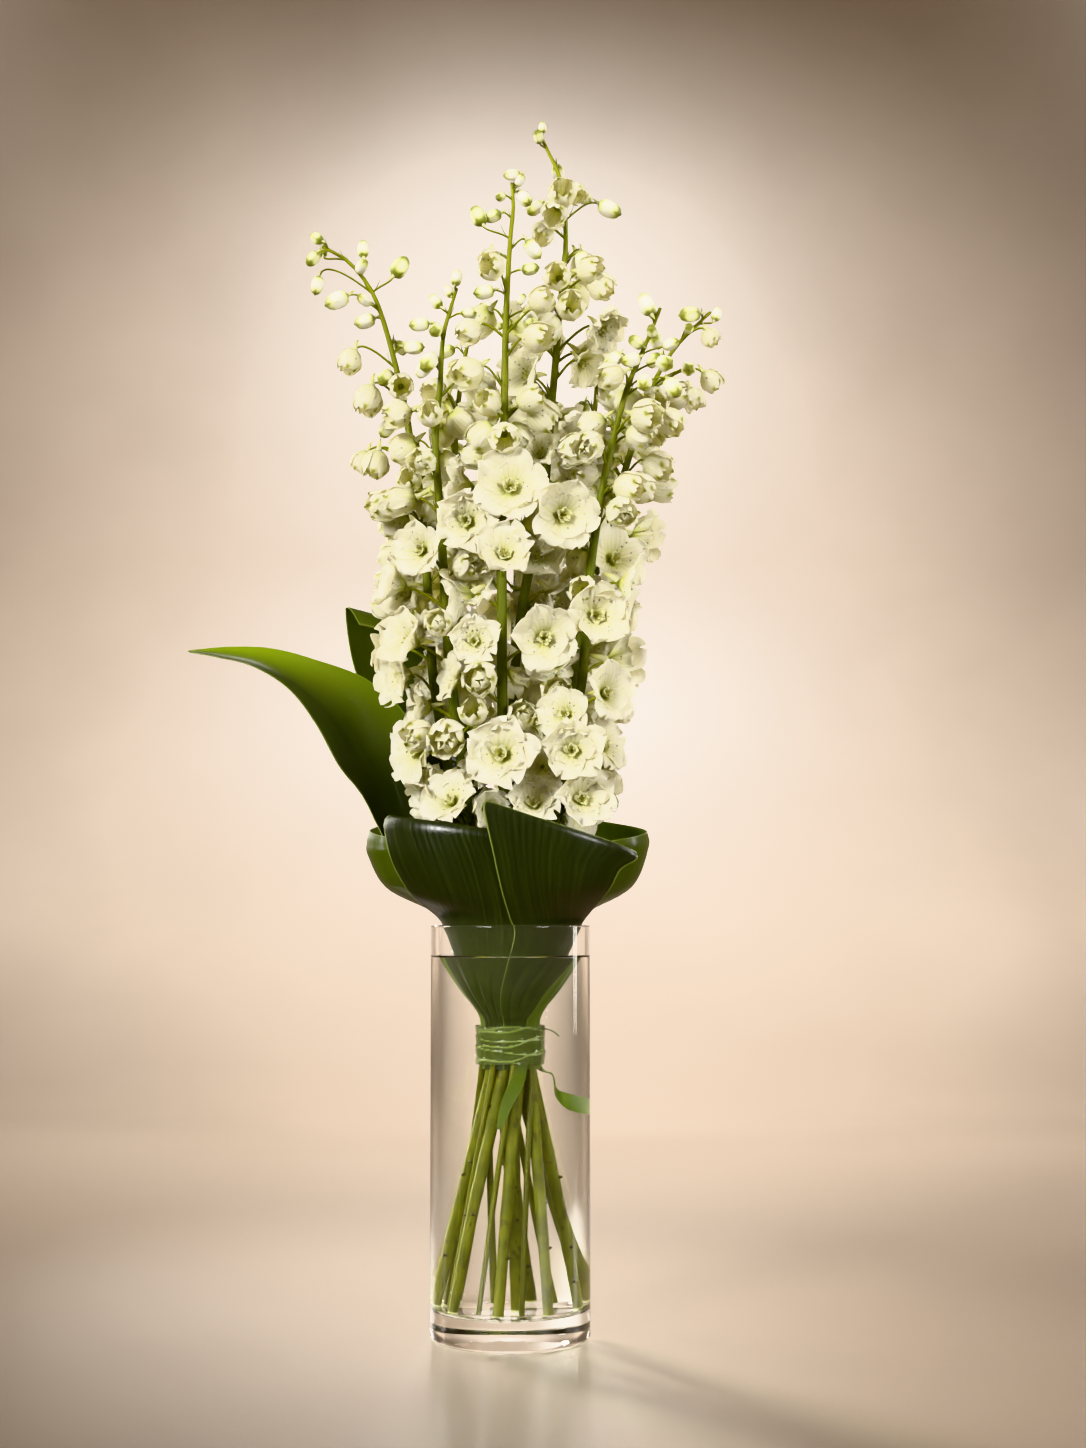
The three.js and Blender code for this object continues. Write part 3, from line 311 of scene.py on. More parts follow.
# Flowers listed one by one: kind, the face's middle, size, azimuth and tilt.
SHOWN = {
    "front": [
        ("open", (1, -66, 519), 21, -88, 8), ("open", (22, -60, 428), 19, -80, -4),
        ("open", (-5, -62, 359), 22, -98, 6), ("open", (15, -46, 331), 17, -88, 26),
        ("bell", (-17, -58, 403), 12, -94, -14), ("bud", (1, -31, 720), 5.6, 180, -6),
        ("bud", (-6, -34, 705), 5.2, -130, -30), ("bud", (9, -26, 707), 5, -40, -50),
        ("bud", (-20, -30, 695), 5.8, 150, 62), ("bell", (-12, -36, 664), 8, -100, -60),
        ("bud", (-21, -30, 659), 4, 170, -10), ("bud", (-16, -36, 645), 6, 190, -12),
        ("bud", (13, -32, 661), 4.6, 0, 8), ("bud", (12, -38, 627), 6, -60, -50),
        ("bell", (-25, -44, 618), 8.5, 205, -36)],
    "front_left": [
        ("open", (-26, -60, 499), 22, -98, -4), ("open", (-21, -58, 427), 18, -92, 6),
        ("open", (-37, -44, 333), 17, -120, 30), ("bell", (-42, -55, 437), 11, -95, 4),
        ("bell", (-37, -54, 368), 13, -92, -22), ("bell", (-55, -44, 371), 12, -140, -16),
        ("bud", (-56, -32, 626), 5, 190, -8), ("bud", (-50, -40, 600), 6.4, -110, -40),
        ("bud", (-33, -30, 656), 5, 60, 70), ("bud", (-46, -31, 641), 4.4, 150, 50)],
    "front_right": [
        ("open", (34, -60, 502), 20, -70, -8), ("open", (38, -60, 361), 19, -88, 2),
        ("open", (45, -50, 333), 19, -70, 12), ("bud", (84, -35, 638), 6, 150, 66),
        ("bud", (95, -31, 640), 4, 40, 70), ("bud", (87, -40, 620), 4, -100, 20),
        ("bud", (77, -40, 613), 4.4, 200, 30), ("bud", (74, -42, 601), 5, 200, -20),
        ("bud", (99, -36, 613), 4.4, -30, 10), ("bud", (95, -42, 599), 6, -70, -20),
        ("bud", (82, -46, 586), 5.6, -100, -40), ("bud", (100, -38, 585), 6, -50, -50),
        ("bell", (61, -46, 590), 9, 200, -16), ("bell", (99, -38, 563), 9.5, -40, -48)],
    "right": [
        ("bud", (131, 6, 648), 4.6, 10, 20), ("bud", (113, 2, 643), 5.8, 190, -6),
        ("bud", (106, 10, 650), 3.6, 160, 50), ("bell", (127, 2, 628), 7.6, -20, -56),
        ("bud", (112, -6, 606), 5.4, -90, -20), ("bell", (116, 0, 588), 8, -50, -62),
        ("bell", (128, 8, 602), 8, 0, -44)],
    "left": [
        ("open", (-71, -18, 411), 20, -150, -6), ("open", (-80, -8, 433), 19, -165, -16),
        ("bud", (-123, -4, 690), 4.2, 150, 34), ("bud", (-125, -8, 675), 4.6, 205, -50),
        ("bud", (-123, 3, 662), 4.8, 160, -74), ("bud", (-107, -6, 668), 5, -30, -30),
        ("bud", (-94, 4, 686), 4.6, 100, 78), ("bud", (-70, 2, 674), 6.4, 20, 58),
        ("bud", (-110, -4, 650), 6.4, 190, -26), ("bud", (-93, 6, 640), 5.4, 175, -14),
        ("bell", (-102, -2, 612), 8.4, 200, -62), ("bud", (-61, -2, 621), 6.2, -10, -4),
        ("bell", (-90, -6, 586), 10, 200, -70), ("bell", (-68, -18, 592), 9, -84, -12),
        ("bell", (-85, -6, 545), 9.4, 200, -72), ("bell", (-95, 10, 550), 8, 170, -58)],
    "middle": [
        ("bud", (20, 8, 766), 5, 90, 84), ("bud", (15, 4, 712), 5, 210, -40),
        ("bell", (42, 0, 720), 7.4, -60, -34), ("bud", (51, 8, 734), 5.2, 30, 52),
        ("bud", (63, 8, 713), 6.4, -10, -28), ("bell", (20, 0, 694), 8.4, -110, -50),
        ("bud", (46, 6, 678), 6, -30, -74), ("bell", (58, 2, 661), 9.6, -24, -38),
        ("bell", (20, -6, 648), 9.6, -110, -20), ("bell", (38, -8, 646), 10.4, -80, 0),
        ("open", (60, -4, 631), 16, -36, -30)],
}
# Small flowers that close the view between the others: spike, then as above.
TUCKED = [
    ("front", "open", (20, -38, 352), 13, -92, 0), ("front", "bell", (8, -40, 383), 10, -80, 20),
    ("front", "bell", (6, -42, 470), 10, -86, -10), ("front_right", "bell", (30, -38, 398), 11, -96, 10),
    ("front_left", "bell", (-22, -44, 386), 10, -98, 14),
    ("front_left", "open", (-24, -40, 462), 14, -92, 10)]
# What a flower of the rule may do to find room, in turn, and how far apart its neighbours have to be.
TURNS = (0, 13, -13, 27, -27, 42, -42)
REACHES = (1, 1.2, 0.8)
SCALES = (1, 0.86, 0.74, 0.62)
ROOM = {"own": 0.1, "other": 0.45, "rounds": 14}
# The rule: turn from one flower to the next, the share of it near the vase, and each kind's own numbers.
SPIRAL = {"turn": 137.5, "start": 71, "share": 0.52, "from": 520, "over": 120}
FILL = {"tries": 40, "open": (13, 17), "bell": (8.5, 11), "reach": (14, 30), "apart": 0.56, "rise": 0.7}
FIFTH = 72


def sides_of(facing):
    """The ways across and up for something that faces a way."""
    across = unit(np.cross((0, 0, 1), facing))
    return across, np.cross(facing, across)


def facing_of(azimuth, tilt):
    return ray(azimuth) * math.cos(math.radians(tilt)) + np.array([0, 0, math.sin(math.radians(tilt))])


class Flower:
    """One flower: its head, its stalk's three points, and the room that both take."""

    def __init__(self, spike, kind, centre, facing, scale, rise, roll):
        self.spike, self.kind, self.centre, self.facing = spike, kind, np.asarray(centre, float), facing
        self.scale, self.roll = scale, roll
        joint = self.centre + facing * HEADS[kind]["joint"] * scale
        away = float(np.hypot(*(joint - spike.point(joint[2]))[:2]))
        root = spike.point(clamp(joint[2] - away * rise, spike.foot, spike.tip - 2))
        self.stalk = [root, joint]
        if kind != "bud":
            bend = mix(root, joint, 0.55)
            bend[2] = mix(bend[2], joint[2], 0.5) + away * 0.06
            self.stalk = [root, bend, joint]

    def head_points(self):
        head = HEADS[self.kind]
        across, up = sides_of(self.facing)

        def ring(centre, turn, places):
            count, points = len(places), []
            for i, (radius, w) in enumerate(places):
                x, y, _ = ray(turn % (360 / count) + 360 * i / count) * radius
                points.append(centre + self.facing * w + across * x + up * y)
            return points

        size = self.scale
        foot = [(0.3 * size, -head["spur"] * size), (STALK[self.kind], 0), (STALK[self.kind], 0)]
        points = ring(self.stalk[-1], 30, foot)
        for r, (radius, w, count) in enumerate(head["rings"]):
            notched = self.kind == "open" and r == 0
            shapes = [NOTCH if notched and i % 2 else (radius, w) for i in range(count)]
            places = [(a * size, b * size) for a, b in shapes]
            points += ring(self.centre, self.roll + r * 180 / count, places)
        return np.array([*points, self.centre + self.facing * head["front"] * size])


class Room:
    """What is already there, as convex sets: points grown by a radius."""

    def __init__(self):
        self.sets, self.middles, self.reaches = [], np.zeros((0, 3)), np.zeros(0)

    @staticmethod
    def piece(points, grow, owner, part):
        points = np.asarray(points, float)
        middle = points.sum(0) / len(points)
        reach = float(np.max(np.linalg.norm(points - middle, axis=1)))
        return points, grow, owner, part, middle, reach

    def add(self, pieces):
        self.sets += pieces
        self.middles = np.vstack([self.middles, *[p[4][None] for p in pieces]])
        self.reaches = np.concatenate([self.reaches, [p[5] + p[1] for p in pieces]])

    @staticmethod
    def apart(a, b, gap):
        """Whether two convex sets lie a gap apart."""
        need = gap + a[1] + b[1]
        v = a[4] - b[4]
        if math.sqrt(v @ v) > a[5] + b[5] + need:
            return True
        for _ in range(ROOM["rounds"]):
            w = a[0][np.argmin(a[0] @ v)] - b[0][np.argmax(b[0] @ v)]
            if w @ v > need * math.sqrt(v @ v):
                return True
            d = w - v
            t = clamp(-(v @ d) / max(d @ d, 1e-9), 0, 1)
            v = v + d * t
            if math.sqrt(v @ v) < need or t == 0:
                return False
        return False

    def fits(self, flower, close=False):
        """The pieces of a flower that has room, or None. A close one may touch other flowers."""
        name, stalk = flower.spike.name, flower.stalk
        parts = [self.piece(flower.head_points(), 0, name, "head")]
        parts += [self.piece([a, b], STALK[flower.kind], name, "stalk") for a, b in zip(stalk, stalk[1:])]
        for part in parts:
            away = np.linalg.norm(self.middles - part[4], axis=1)
            for i in np.nonzero(away <= part[5] + part[1] + self.reaches + ROOM["other"])[0]:
                other = self.sets[i]
                own = other[2] == name
                if close and other[3] in ("head", "stalk"):
                    continue
                if own and part[3] == "stalk" and other[3] != "head":
                    continue
                if not self.apart(part, other, ROOM["own" if own else "other"]):
                    return None
        return parts


def first_room():
    """Room that the stems and the leaf blades take."""
    room = Room()
    for spike in SPIKES.values():
        heights = spike.heights()
        points = spike.points(heights)
        room.add([Room.piece(points[i : i + 2], spike.radius(z), spike.name, "stem")
                  for i, z in enumerate(heights[:-1])])
    for name, (_, columns, rows) in LEAVES.items():
        grid = blade_grid(rows, range(len(rows)), [2 * c / columns - 1 for c in range(columns + 1)])
        room.add([Room.piece(grid[r : r + 2, c : c + 2].reshape(-1, 3), LEAF["thick"], name, "leaf")
                  for r in range(FREE, len(rows) - 1) for c in range(columns)])
    return room


def asked_for():
    """The flowers that the rule wants on each spike, the open ones first."""
    wishes = []
    for n, spike in enumerate(SPIKES.values()):
        heights = [spike.start, *[min(z, spike.tip) for z in np.arange(spike.start + 4, spike.tip + 4, 4)]]
        steps = np.linalg.norm(np.diff(spike.points(heights), axis=0), axis=1)
        lengths = np.concatenate([[0], np.cumsum(steps)])
        for k in range(spike.flowers):
            u = k / (spike.flowers - 1)
            z = float(np.interp(u**0.9 * lengths[-1], lengths, heights))
            kind = "open" if z < spike.open_to else "bell" if z < spike.bell_to else "bud"
            top = clamp((z - spike.bell_to) / (spike.tip - spike.bell_to), 0, 1)
            seed = n * 100 + k
            high = clamp((z - SPIRAL["from"]) / SPIRAL["over"], 0, 1)
            wide = 1 if spike.slot < 0 else mix(SPIRAL["share"], 1, high)
            spiral = (k * SPIRAL["turn"] + n * SPIRAL["start"] + 180) % 360 - 180
            scale = {"open": 20 - 4 * u, "bell": 11.5 - 2 * u, "bud": mix(6.4, 3.8, top)}[kind]
            tilt = {"open": 2, "bell": -24, "bud": mix(-38, 60, top**3)}[kind]
            wishes.append({
                "spike": spike, "kind": kind, "z": z,
                "azimuth": spike.out + spiral * wide + (chance(seed) - 0.5) * 24,
                "reach": {"open": 27, "bell": 25, "bud": mix(21, 6, top)}[kind],
                "scale": scale * mix(0.92, 1.08, chance(seed + 0.5)),
                "tilt": tilt + (chance(seed + 0.25) - 0.5) * 34,
                "rise": {"open": 0.55, "bell": 0.75, "bud": mix(0.9, 0.5, top)}[kind],
                "roll": chance(seed + 0.75) * FIFTH,
                "rank": {"open": 0, "bell": 1, "bud": 2}[kind] * 1000 + k * 10 + n,
            })
    return sorted(wishes, key=lambda wish: wish["rank"])


def tries_for(wish):
    """A wished flower in each of the places where it may stand, the best first."""
    x, y, _ = wish["spike"].point(wish["z"])
    for shrink in SCALES:
        for stretch in REACHES:
            for turn in TURNS:
                azimuth = wish["azimuth"] + turn
                centre = np.array([x, y, wish["z"]]) + ray(azimuth) * wish["reach"] * stretch
                facing = facing_of(azimuth, wish["tilt"])
                scale = wish["scale"] * shrink
                yield Flower(wish["spike"], wish["kind"], centre, facing, scale, wish["rise"], wish["roll"])


def all_flowers():
    """Every flower: those listed, then those of the rule, wherever there is room."""
    room, kept = first_room(), []

    def keep(tries):
        for flower in tries:
            parts = room.fits(flower)
            if parts:
                room.add(parts)
                kept.append(flower)
                return

    for n, (name, rows) in enumerate(SHOWN.items()):
        for k, (kind, centre, scale, azimuth, tilt) in enumerate(rows):
            facing, roll = facing_of(azimuth, tilt), chance(n * 20 + k) * FIFTH
            keep(Flower(SPIKES[name], kind, centre, facing, scale * shrink, 0.5, roll) for shrink in SCALES)
    for wish in asked_for():
        keep(tries_for(wish))
    tucked = [Flower(SPIKES[name], kind, centre, facing_of(azimuth, tilt), scale, FILL["rise"], scale * 5)
              for name, kind, centre, scale, azimuth, tilt in TUCKED]
    return kept + fillers(room, kept) + [flower for flower in tucked if room.fits(flower, close=True)]


def fillers(room, kept):
    """Smaller florets tucked in between, which touch their neighbours but no stem and no leaf."""
    places, sizes = [flower.centre for flower in kept], [flower.scale for flower in kept]
    added = []
    for k in range(FILL["tries"]):
        for n, spike in enumerate(SPIKES.values()):
            seed = 5000 + n * 211 + k * 3.7
            z = mix(spike.start - 26, spike.bell_to + 10, chance(seed) ** 1.2)
            kind = "open" if z < spike.open_to - 30 else "bell"
            scale = mix(*FILL[kind], chance(seed + 0.2))
            azimuth = chance(seed + 0.4) * 360
            facing = facing_of(azimuth, (chance(seed + 0.6) - 0.4) * -70)
            centre = spike.point(z) + ray(azimuth) * mix(*FILL["reach"], chance(seed + 0.8))
            away = np.linalg.norm(np.array(places) - centre, axis=1) / (np.array(sizes) + scale)
            if away.min() < FILL["apart"]:
                continue
            flower = Flower(spike, kind, centre, facing, scale, FILL["rise"], chance(seed + 0.9) * FIFTH)
            if room.fits(flower, close=True):
                added.append(flower)
                places.append(centre)
                sizes.append(scale)
    return added


# ---- node trees ----
class Value:
    """A socket whose arithmetic adds Math nodes to its tree."""

    def __init__(self, tree, socket):
        self.tree, self.socket = tree, socket

    def __add__(self, other):
        return self.tree.math("ADD", self, other)

    def __sub__(self, other):
        return self.tree.math("SUBTRACT", self, other)

    def __rsub__(self, other):
        return self.tree.math("SUBTRACT", other, self)

    def __mul__(self, other):
        return self.tree.math("MULTIPLY", self, other)

    __radd__, __rmul__ = __add__, __mul__


class Tree:
    """Adds nodes to a material's or a modifier's tree."""

    def __init__(self, tree):
        self.tree = tree

    def add(self, kind, inputs=None, **settings):
        """The outputs of a new node: its settings come first, then the values or links of its sockets."""
        node = self.tree.nodes.new(kind)
        for name, setting in settings.items():
            setattr(node, name, setting)
        for name, value in (inputs or {}).items():
            source = value.socket if isinstance(value, Value) else value
            if isinstance(source, bpy.types.NodeSocket):
                self.tree.links.new(source, node.inputs[name])
            else:
                node.inputs[name].default_value = source
        return node.outputs

    def value(self, kind, output, inputs=None, **settings):
        return Value(self, self.add(kind, inputs, **settings)[output])

    def math(self, operation, *numbers, clamped=False):
        inputs = dict(enumerate(numbers))
        return self.value("ShaderNodeMath", 0, inputs, operation=operation, use_clamp=clamped)

    def attribute(self, name):
        return self.value("ShaderNodeAttribute", "Fac", attribute_name=name)

    def step(self, low, high, number):
        """0 below low, 1 above high, and smooth between them."""
        inputs = {"Value": number, "From Min": low, "From Max": high}
        return self.value("ShaderNodeMapRange", "Result", inputs, interpolation_type="SMOOTHSTEP")

    def blend(self, share, first, second):
        """One colour turning into another."""
        inputs = {0: share, 6: self.colour(first), 7: self.colour(second)}
        return self.value("ShaderNodeMix", 2, inputs, data_type="RGBA")

    @staticmethod
    def colour(value):
        return (*value, 1) if isinstance(value, tuple) and len(value) == 3 else value

    def places(self, scale=(1, 1, 1)):
        """Object coordinates stretched by a scale along each axis."""
        source = self.add("ShaderNodeTexCoord")["Object"]
        return self.add("ShaderNodeMapping", {"Vector": source, "Scale": scale})["Vector"]

    def height(self):
        return self.value("ShaderNodeSeparateXYZ", "Z", {0: self.places()})

    def noise(self, places, scale, detail=3):
        inputs = {"Vector": places, "Scale": scale, "Detail": detail, "Roughness": 0.55}
        return self.value("ShaderNodeTexNoise", "Fac", inputs)


class Finish(Tree):
    """A material under way: its tree, and the shader that ends it."""

    def __init__(self, name):
        self.material = bpy.data.materials.new(name)
        self.material.use_nodes = True
        self.material.node_tree.nodes.clear()
        super().__init__(self.material.node_tree)

    def bump(self, height, distance, strength):
        inputs = {"Height": height, "Distance": distance, "Strength": strength}
        return self.add("ShaderNodeBump", inputs)[0]

    def shader(self, **inputs):
        named = {name.replace("_", " "): self.colour(value) for name, value in inputs.items()}
        return self.add("ShaderNodeBsdfPrincipled", named)[0]

    def end(self, surface):
        self.add("ShaderNodeOutputMaterial", {"Surface": surface})
        return self.material

    def see_through(self, surface, colour, share, **inputs):
        """Mixes in light that comes through from behind, on the surface's Normal if one is given."""
        behind = self.add("ShaderNodeBsdfTranslucent", {"Color": self.colour(colour), **inputs})[0]
        return self.add("ShaderNodeMixShader", {0: share, 1: surface, 2: behind})[0]


# ---- finishes ----
IVORY, CREAM = (0.97, 0.95, 0.91), (0.86, 0.83, 0.64)
THROAT, SPUR_GREEN = (0.58, 0.60, 0.04), (0.19, 0.22, 0.015)
GLOW = (0.92, 0.91, 0.60)
SPECK, ANTHER = (0.12, 0.09, 0.01), (0.26, 0.19, 0.02)


def petal_finish():
    """Thin satin petals: ivory, yellow-green towards the throat, faintly veined, with a few brown specks."""
    f = Finish("petal satin")
    along, across, green = f.attribute("along"), f.attribute("across"), f.attribute("green")
    dark, tone = f.attribute("dark"), f.attribute("tone")
    flat = f.places()
    cloud = f.noise(flat, 90, 2)
    veins = f.math("SINE", (across + (cloud - 0.5) * 0.25) * 21)
    edge = f.step(0.3, 0.9, f.math("MAXIMUM", along, f.math("ABSOLUTE", across)))
    pale = f.blend(edge * 0.7 + cloud * 0.3 - tone * 0.25, CREAM, IVORY)
    lined = f.blend(f.step(0.3, 1, veins) * (1 - along) * 0.6, pale, THROAT)
    tinted = f.blend(f.step(0, 1, green), lined, f.blend(f.step(0.55, 1, green), THROAT, SPUR_GREEN))
    cells = f.add("ShaderNodeTexVoronoi", {"Vector": flat, "Scale": 330, "Randomness": 1})
    chosen = f.value("ShaderNodeSeparateColor", 0, {0: cells["Color"]})
    spot = (1 - f.step(0.16, 0.26, cells["Distance"])) * f.step(0.6, 0.62, chosen)
    spots = spot * f.step(0.15, 0.3, along) * (1 - f.step(0.5, 0.75, along))
    speckled = f.blend(spots * 0.85, tinted, SPECK)
    colour = f.blend(dark, speckled, ANTHER)
    grain = f.bump(veins * 0.25 + cloud * 2, 0.0003, 0.4)
    skin = f.shader(Base_Color=colour, Roughness=0.5, Normal=grain, Sheen_Weight=0.15)
    glow = f.blend(0.4, colour, GLOW)
    return f.end(f.see_through(skin, glow, 0.52 - f.attribute("lit") * 0.34, Normal=grain))


STEM_GREEN, STEM_LIGHT, STEM_DARK = (0.085, 0.085, 0.002), (0.26, 0.27, 0.010), (0.034, 0.036, 0.001)
STEM_SHADED, CUT_END, NUB = (0.040, 0.062, 0.003), (0.50, 0.50, 0.24), (0.035, 0.025, 0.006)


def stem_finish():
    """Fresh green stems: streaked lengthways, paler towards the tips, darker with painted shade from the
    collar up among the flower heads, with dull nodes and pale cut ends.
    """
    f = Finish("stem green")
    young, dark = f.attribute("along"), f.attribute("dark")
    streak = f.noise(f.places((1, 1, 0.05)), 900)
    cloud = f.noise(f.places(), 70)
    height = f.height()
    # Painted shade: from the collar up, among the flower heads, the stems turn a darker green.
    shaded_above = f.blend(f.step(0.2, 0.33, height), STEM_GREEN, STEM_SHADED)
    deep = f.blend(f.step(0.35, 0.7, cloud), shaded_above, STEM_DARK)
    paler = f.math("ADD", f.math("POWER", young, 2) * 0.75, streak * 0.18, clamped=True)
    base = f.blend(paler, deep, STEM_LIGHT)
    scars = f.step(0.66, 0.70, f.noise(f.places((1, 1, 0.6)), 210, 1))
    spotted = f.blend(scars * (1 - young) * 0.7, base, NUB)
    cut = 1 - f.step(0.0194, 0.0208, height)
    colour = f.blend(dark, f.blend(cut, spotted, CUT_END), NUB)
    grain = f.bump(streak + cloud, 0.0004, 0.5)
    skin = f.shader(Base_Color=colour, Roughness=0.5, Normal=grain, Specular_IOR_Level=0.2)
    return f.end(f.see_through(skin, f.blend(0.5, colour, STEM_LIGHT), 0.08))


# The light green of the painted highlight along the leaves' rims and far ends.
LEAF_RIM_HIGHLIGHT = (0.34, 0.40, 0.12)


def leaf_finish(name, deep, light, through_colour, share):
    """Glossy leaves: fine parallel veins, a painted highlight along the rims and the far end, and light that
    shows through from behind.
    """
    f = Finish(name)
    along, across, stalk = f.attribute("along"), f.attribute("across"), f.attribute("green")
    cloud = f.noise(f.places(), 26)
    drift = across + (cloud - 0.5) * 0.05
    fine, broad = f.math("SINE", drift * 61), f.math("SINE", drift * 23)
    ribs = f.step(0.9, 1, broad)
    lengthways = f.add("ShaderNodeCombineXYZ", {0: across * 7, 1: along * 1.4})[0]
    streak = f.step(0.45, 0.8, f.noise(lengthways, 2.3))
    bands = f.math("ADD", fine * 0.05 + cloud * 0.35, ribs * 0.12 + streak * 0.5, clamped=True)
    foot = 1 - f.step(0.30, 0.52, along)
    # Painted highlight: the rims and the far end of each blade are paled towards a light green.
    rim = f.step(0.968, 0.99, f.math("ABSOLUTE", across))
    end_highlight = f.step(0.985, 1, along)
    blade = f.blend(foot * 0.03, f.blend(bands, deep, light), through_colour)
    rim_highlighted = f.blend(f.math("MAXIMUM", rim, end_highlight) * 0.45, blade, LEAF_RIM_HIGHLIGHT)
    colour = f.blend(stalk, f.blend(f.attribute("lit"), rim_highlighted, through_colour), STEM_GREEN)
    grain = f.bump(ribs * 0.2 + fine * 0.05 + cloud * 2.5, 0.0004, 0.5)
    skin = f.shader(Base_Color=colour, Roughness=0.3 + bands * 0.16 + fine * 0.04, Normal=grain,
                    Specular_IOR_Level=0.35, Coat_Weight=0.08, Coat_Roughness=0.15)
    glow = f.blend(stalk, f.blend(bands, through_colour, light), STEM_GREEN)
    return f.end(f.see_through(skin, glow, share, Normal=grain))


def clear_finish(name, colour, index, shade, stretch, scale, rough):
    """Something clear and polished, very faintly uneven, that lamps shine through with little shade."""
    f = Finish(name)
    uneven = f.noise(f.places(stretch), scale, 2)
    solid = f.shader(Base_Color=colour, Roughness=uneven * rough, IOR=index, Transmission_Weight=1.0)
    clear = f.add("ShaderNodeBsdfTransparent", {"Color": (*shade, 1)})[0]
    shadow = f.add("ShaderNodeLightPath")["Is Shadow Ray"]
    return f.end(f.add("ShaderNodeMixShader", {0: shadow, 1: solid, 2: clear})[0])


def tie_finish():
    """Clear glossy binding tape with a green cast, paler and less clear towards the edge of each lap."""
    f = Finish("binding tape")
    haze = f.noise(f.places((1, 1, 2.5)), 90, 2)
    edge = f.step(0.72, 1, f.attribute("along"))
    colour = f.blend(f.math("ADD", haze * 0.6, edge * 0.4), (0.05, 0.07, 0.01), (0.20, 0.24, 0.08))
    skin = f.shader(Base_Color=colour, Roughness=0.06 + haze * 0.12, Coat_Weight=1.0, Coat_Roughness=0.04,
                    Alpha=0.5 + edge * 0.4)
    return f.end(f.see_through(skin, colour, 0.25))


def floor_finish():
    """A plain warm sweep, with painted shade that darkens it where it is the table, and a soft gloss there.
    """
    f = Finish("pale sweep")
    cloud = f.noise(f.places(), 2.2, 4)
    colour = f.blend(cloud, (0.21, 0.162, 0.123), (0.31, 0.246, 0.192))
    table = 1 - f.step(0.0, 0.3, f.height())
    # Painted shade: the table part is darkened towards a deep brown, fading out where the sweep turns up into
    # the wall.
    table_shaded = f.blend(table * 0.62, colour, (0.09, 0.068, 0.05))
    return f.end(f.shader(Base_Color=table_shaded, Roughness=0.34 + cloud * 0.1, Coat_Weight=table * 0.28,
                          Coat_Roughness=0.16))


# ---- meshes ----
def placed(name, data):
    """A new object in the scene."""
    obj = bpy.data.objects.new(name, data)
    bpy.context.scene.collection.objects.link(obj)
    return obj


def write_numbers(mesh, key, values, kind="FLOAT"):
    mesh.attributes.new(key, kind, "POINT").data.foreach_set("value", values)


def new_mesh(name, points, edges, faces, **numbers):
    """A mesh with a number at each point for every attribute."""
    mesh = bpy.data.meshes.new(name)
    mesh.from_pydata(points, edges, faces)
    for key, values in numbers.items():
        write_numbers(mesh, key, values)
    return mesh


def piece_of(name, mesh, node, slot, finish):
    """Hands a finished mesh over as a piece that stands for a solid."""
    mesh.materials.clear()
    mesh.materials.append(finish)
    obj = placed(name, mesh)
    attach(obj, "root")
    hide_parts(node)


def smooth_mesh(name, points, faces, **numbers):
    """A smooth-shaded mesh from millimetres, sharp only at its rims."""
    mesh = new_mesh(name, (np.asarray(points, float) * MM).tolist(), [], faces, **numbers)
    mesh.shade_smooth()
    mesh.set_sharp_from_angle(angle=math.radians(50))
    return mesh


def normals_of(grid):
    """Unit normals at the points of a grid."""
    normals = np.cross(np.gradient(grid, axis=0), np.gradient(grid, axis=1))
    return normals / np.maximum(np.linalg.norm(normals, axis=2, keepdims=True), 1e-12)


def shell(grid, thick):
    """A closed skin on both sides of a grid of points: its points and faces."""
    rows, columns = grid.shape[:2]
    reach = normals_of(grid) * thick / 2
    points = np.vstack([(grid + reach).reshape(-1, 3), (grid - reach).reshape(-1, 3)])
    half = rows * columns
    index = np.arange(half).reshape(rows, columns)
    a, b, d, e = (part.ravel() for part in (index[:-1, :-1], index[:-1, 1:], index[1:, :-1], index[1:, 1:]))
    front, back = np.column_stack([a, d, e, b]), np.column_stack([a, b, e, d]) + half
    loop = np.concatenate([index[:-1, 0], index[-1, :-1], index[:0:-1, -1], index[0, :0:-1]])
    after = np.roll(loop, -1)
    rim = np.column_stack([after, loop, loop + half, after + half])
    return points, np.vstack([front, back, rim]).tolist()


def circle_of(sides):
    return np.arange(sides) * 2 * math.pi / sides


def closed_faces(rings, sides):
    """The faces between rings of points, closed by a single first point and a single last one."""
    index = 1 + np.arange(rings * sides).reshape(rings, sides)
    beside, last = np.roll(index, -1, axis=1), 1 + rings * sides
    quads = np.column_stack([part.ravel() for part in (index[:-1], beside[:-1], beside[1:], index[1:])])
    pairs = zip(*[part.tolist() for part in (index[0], beside[0], index[-1], beside[-1])])
    ends = [((0, b, a), (last, c, d)) for a, b, c, d in pairs]
    return [*quads.tolist(), *[low for low, _ in ends], *[high for _, high in ends]]


def turned_round(name, profile):
    """The mesh of a closed profile of (radius, z) turned round +Z, with a single point at each end."""
    (_, low), *rings, (_, high) = held(profile)
    turn = circle_of(SIDES)
    circle = np.column_stack([np.cos(turn), np.sin(turn), np.zeros(SIDES)])
    points = np.vstack([[(0, 0, low)], *[circle * r + (0, 0, z) for r, z in rings], [(0, 0, high)]])
    return smooth_mesh(name, points, closed_faces(len(rings), SIDES))


def rounded(x, z, radius, start, end, steps):
    """Points of an arc round (x, z), between two angles in degrees."""
    turn = [math.radians(mix(start, end, i / steps)) for i in range(steps + 1)]
    return [(x + radius * math.cos(a), z + radius * math.sin(a)) for a in turn]


def held(profile, near=0.4):
    """A profile with a point close to each end of its long runs, which keeps them straight to the eye."""
    kept = [profile[0]]
    for last, point in zip(profile, profile[1:]):
        t = near / math.dist(last, point)
        if t < 1 / 6:
            kept += [tuple(mix(a, b, t) for a, b in zip(*pair)) for pair in ((last, point), (point, last))]
        kept.append(point)
    return kept


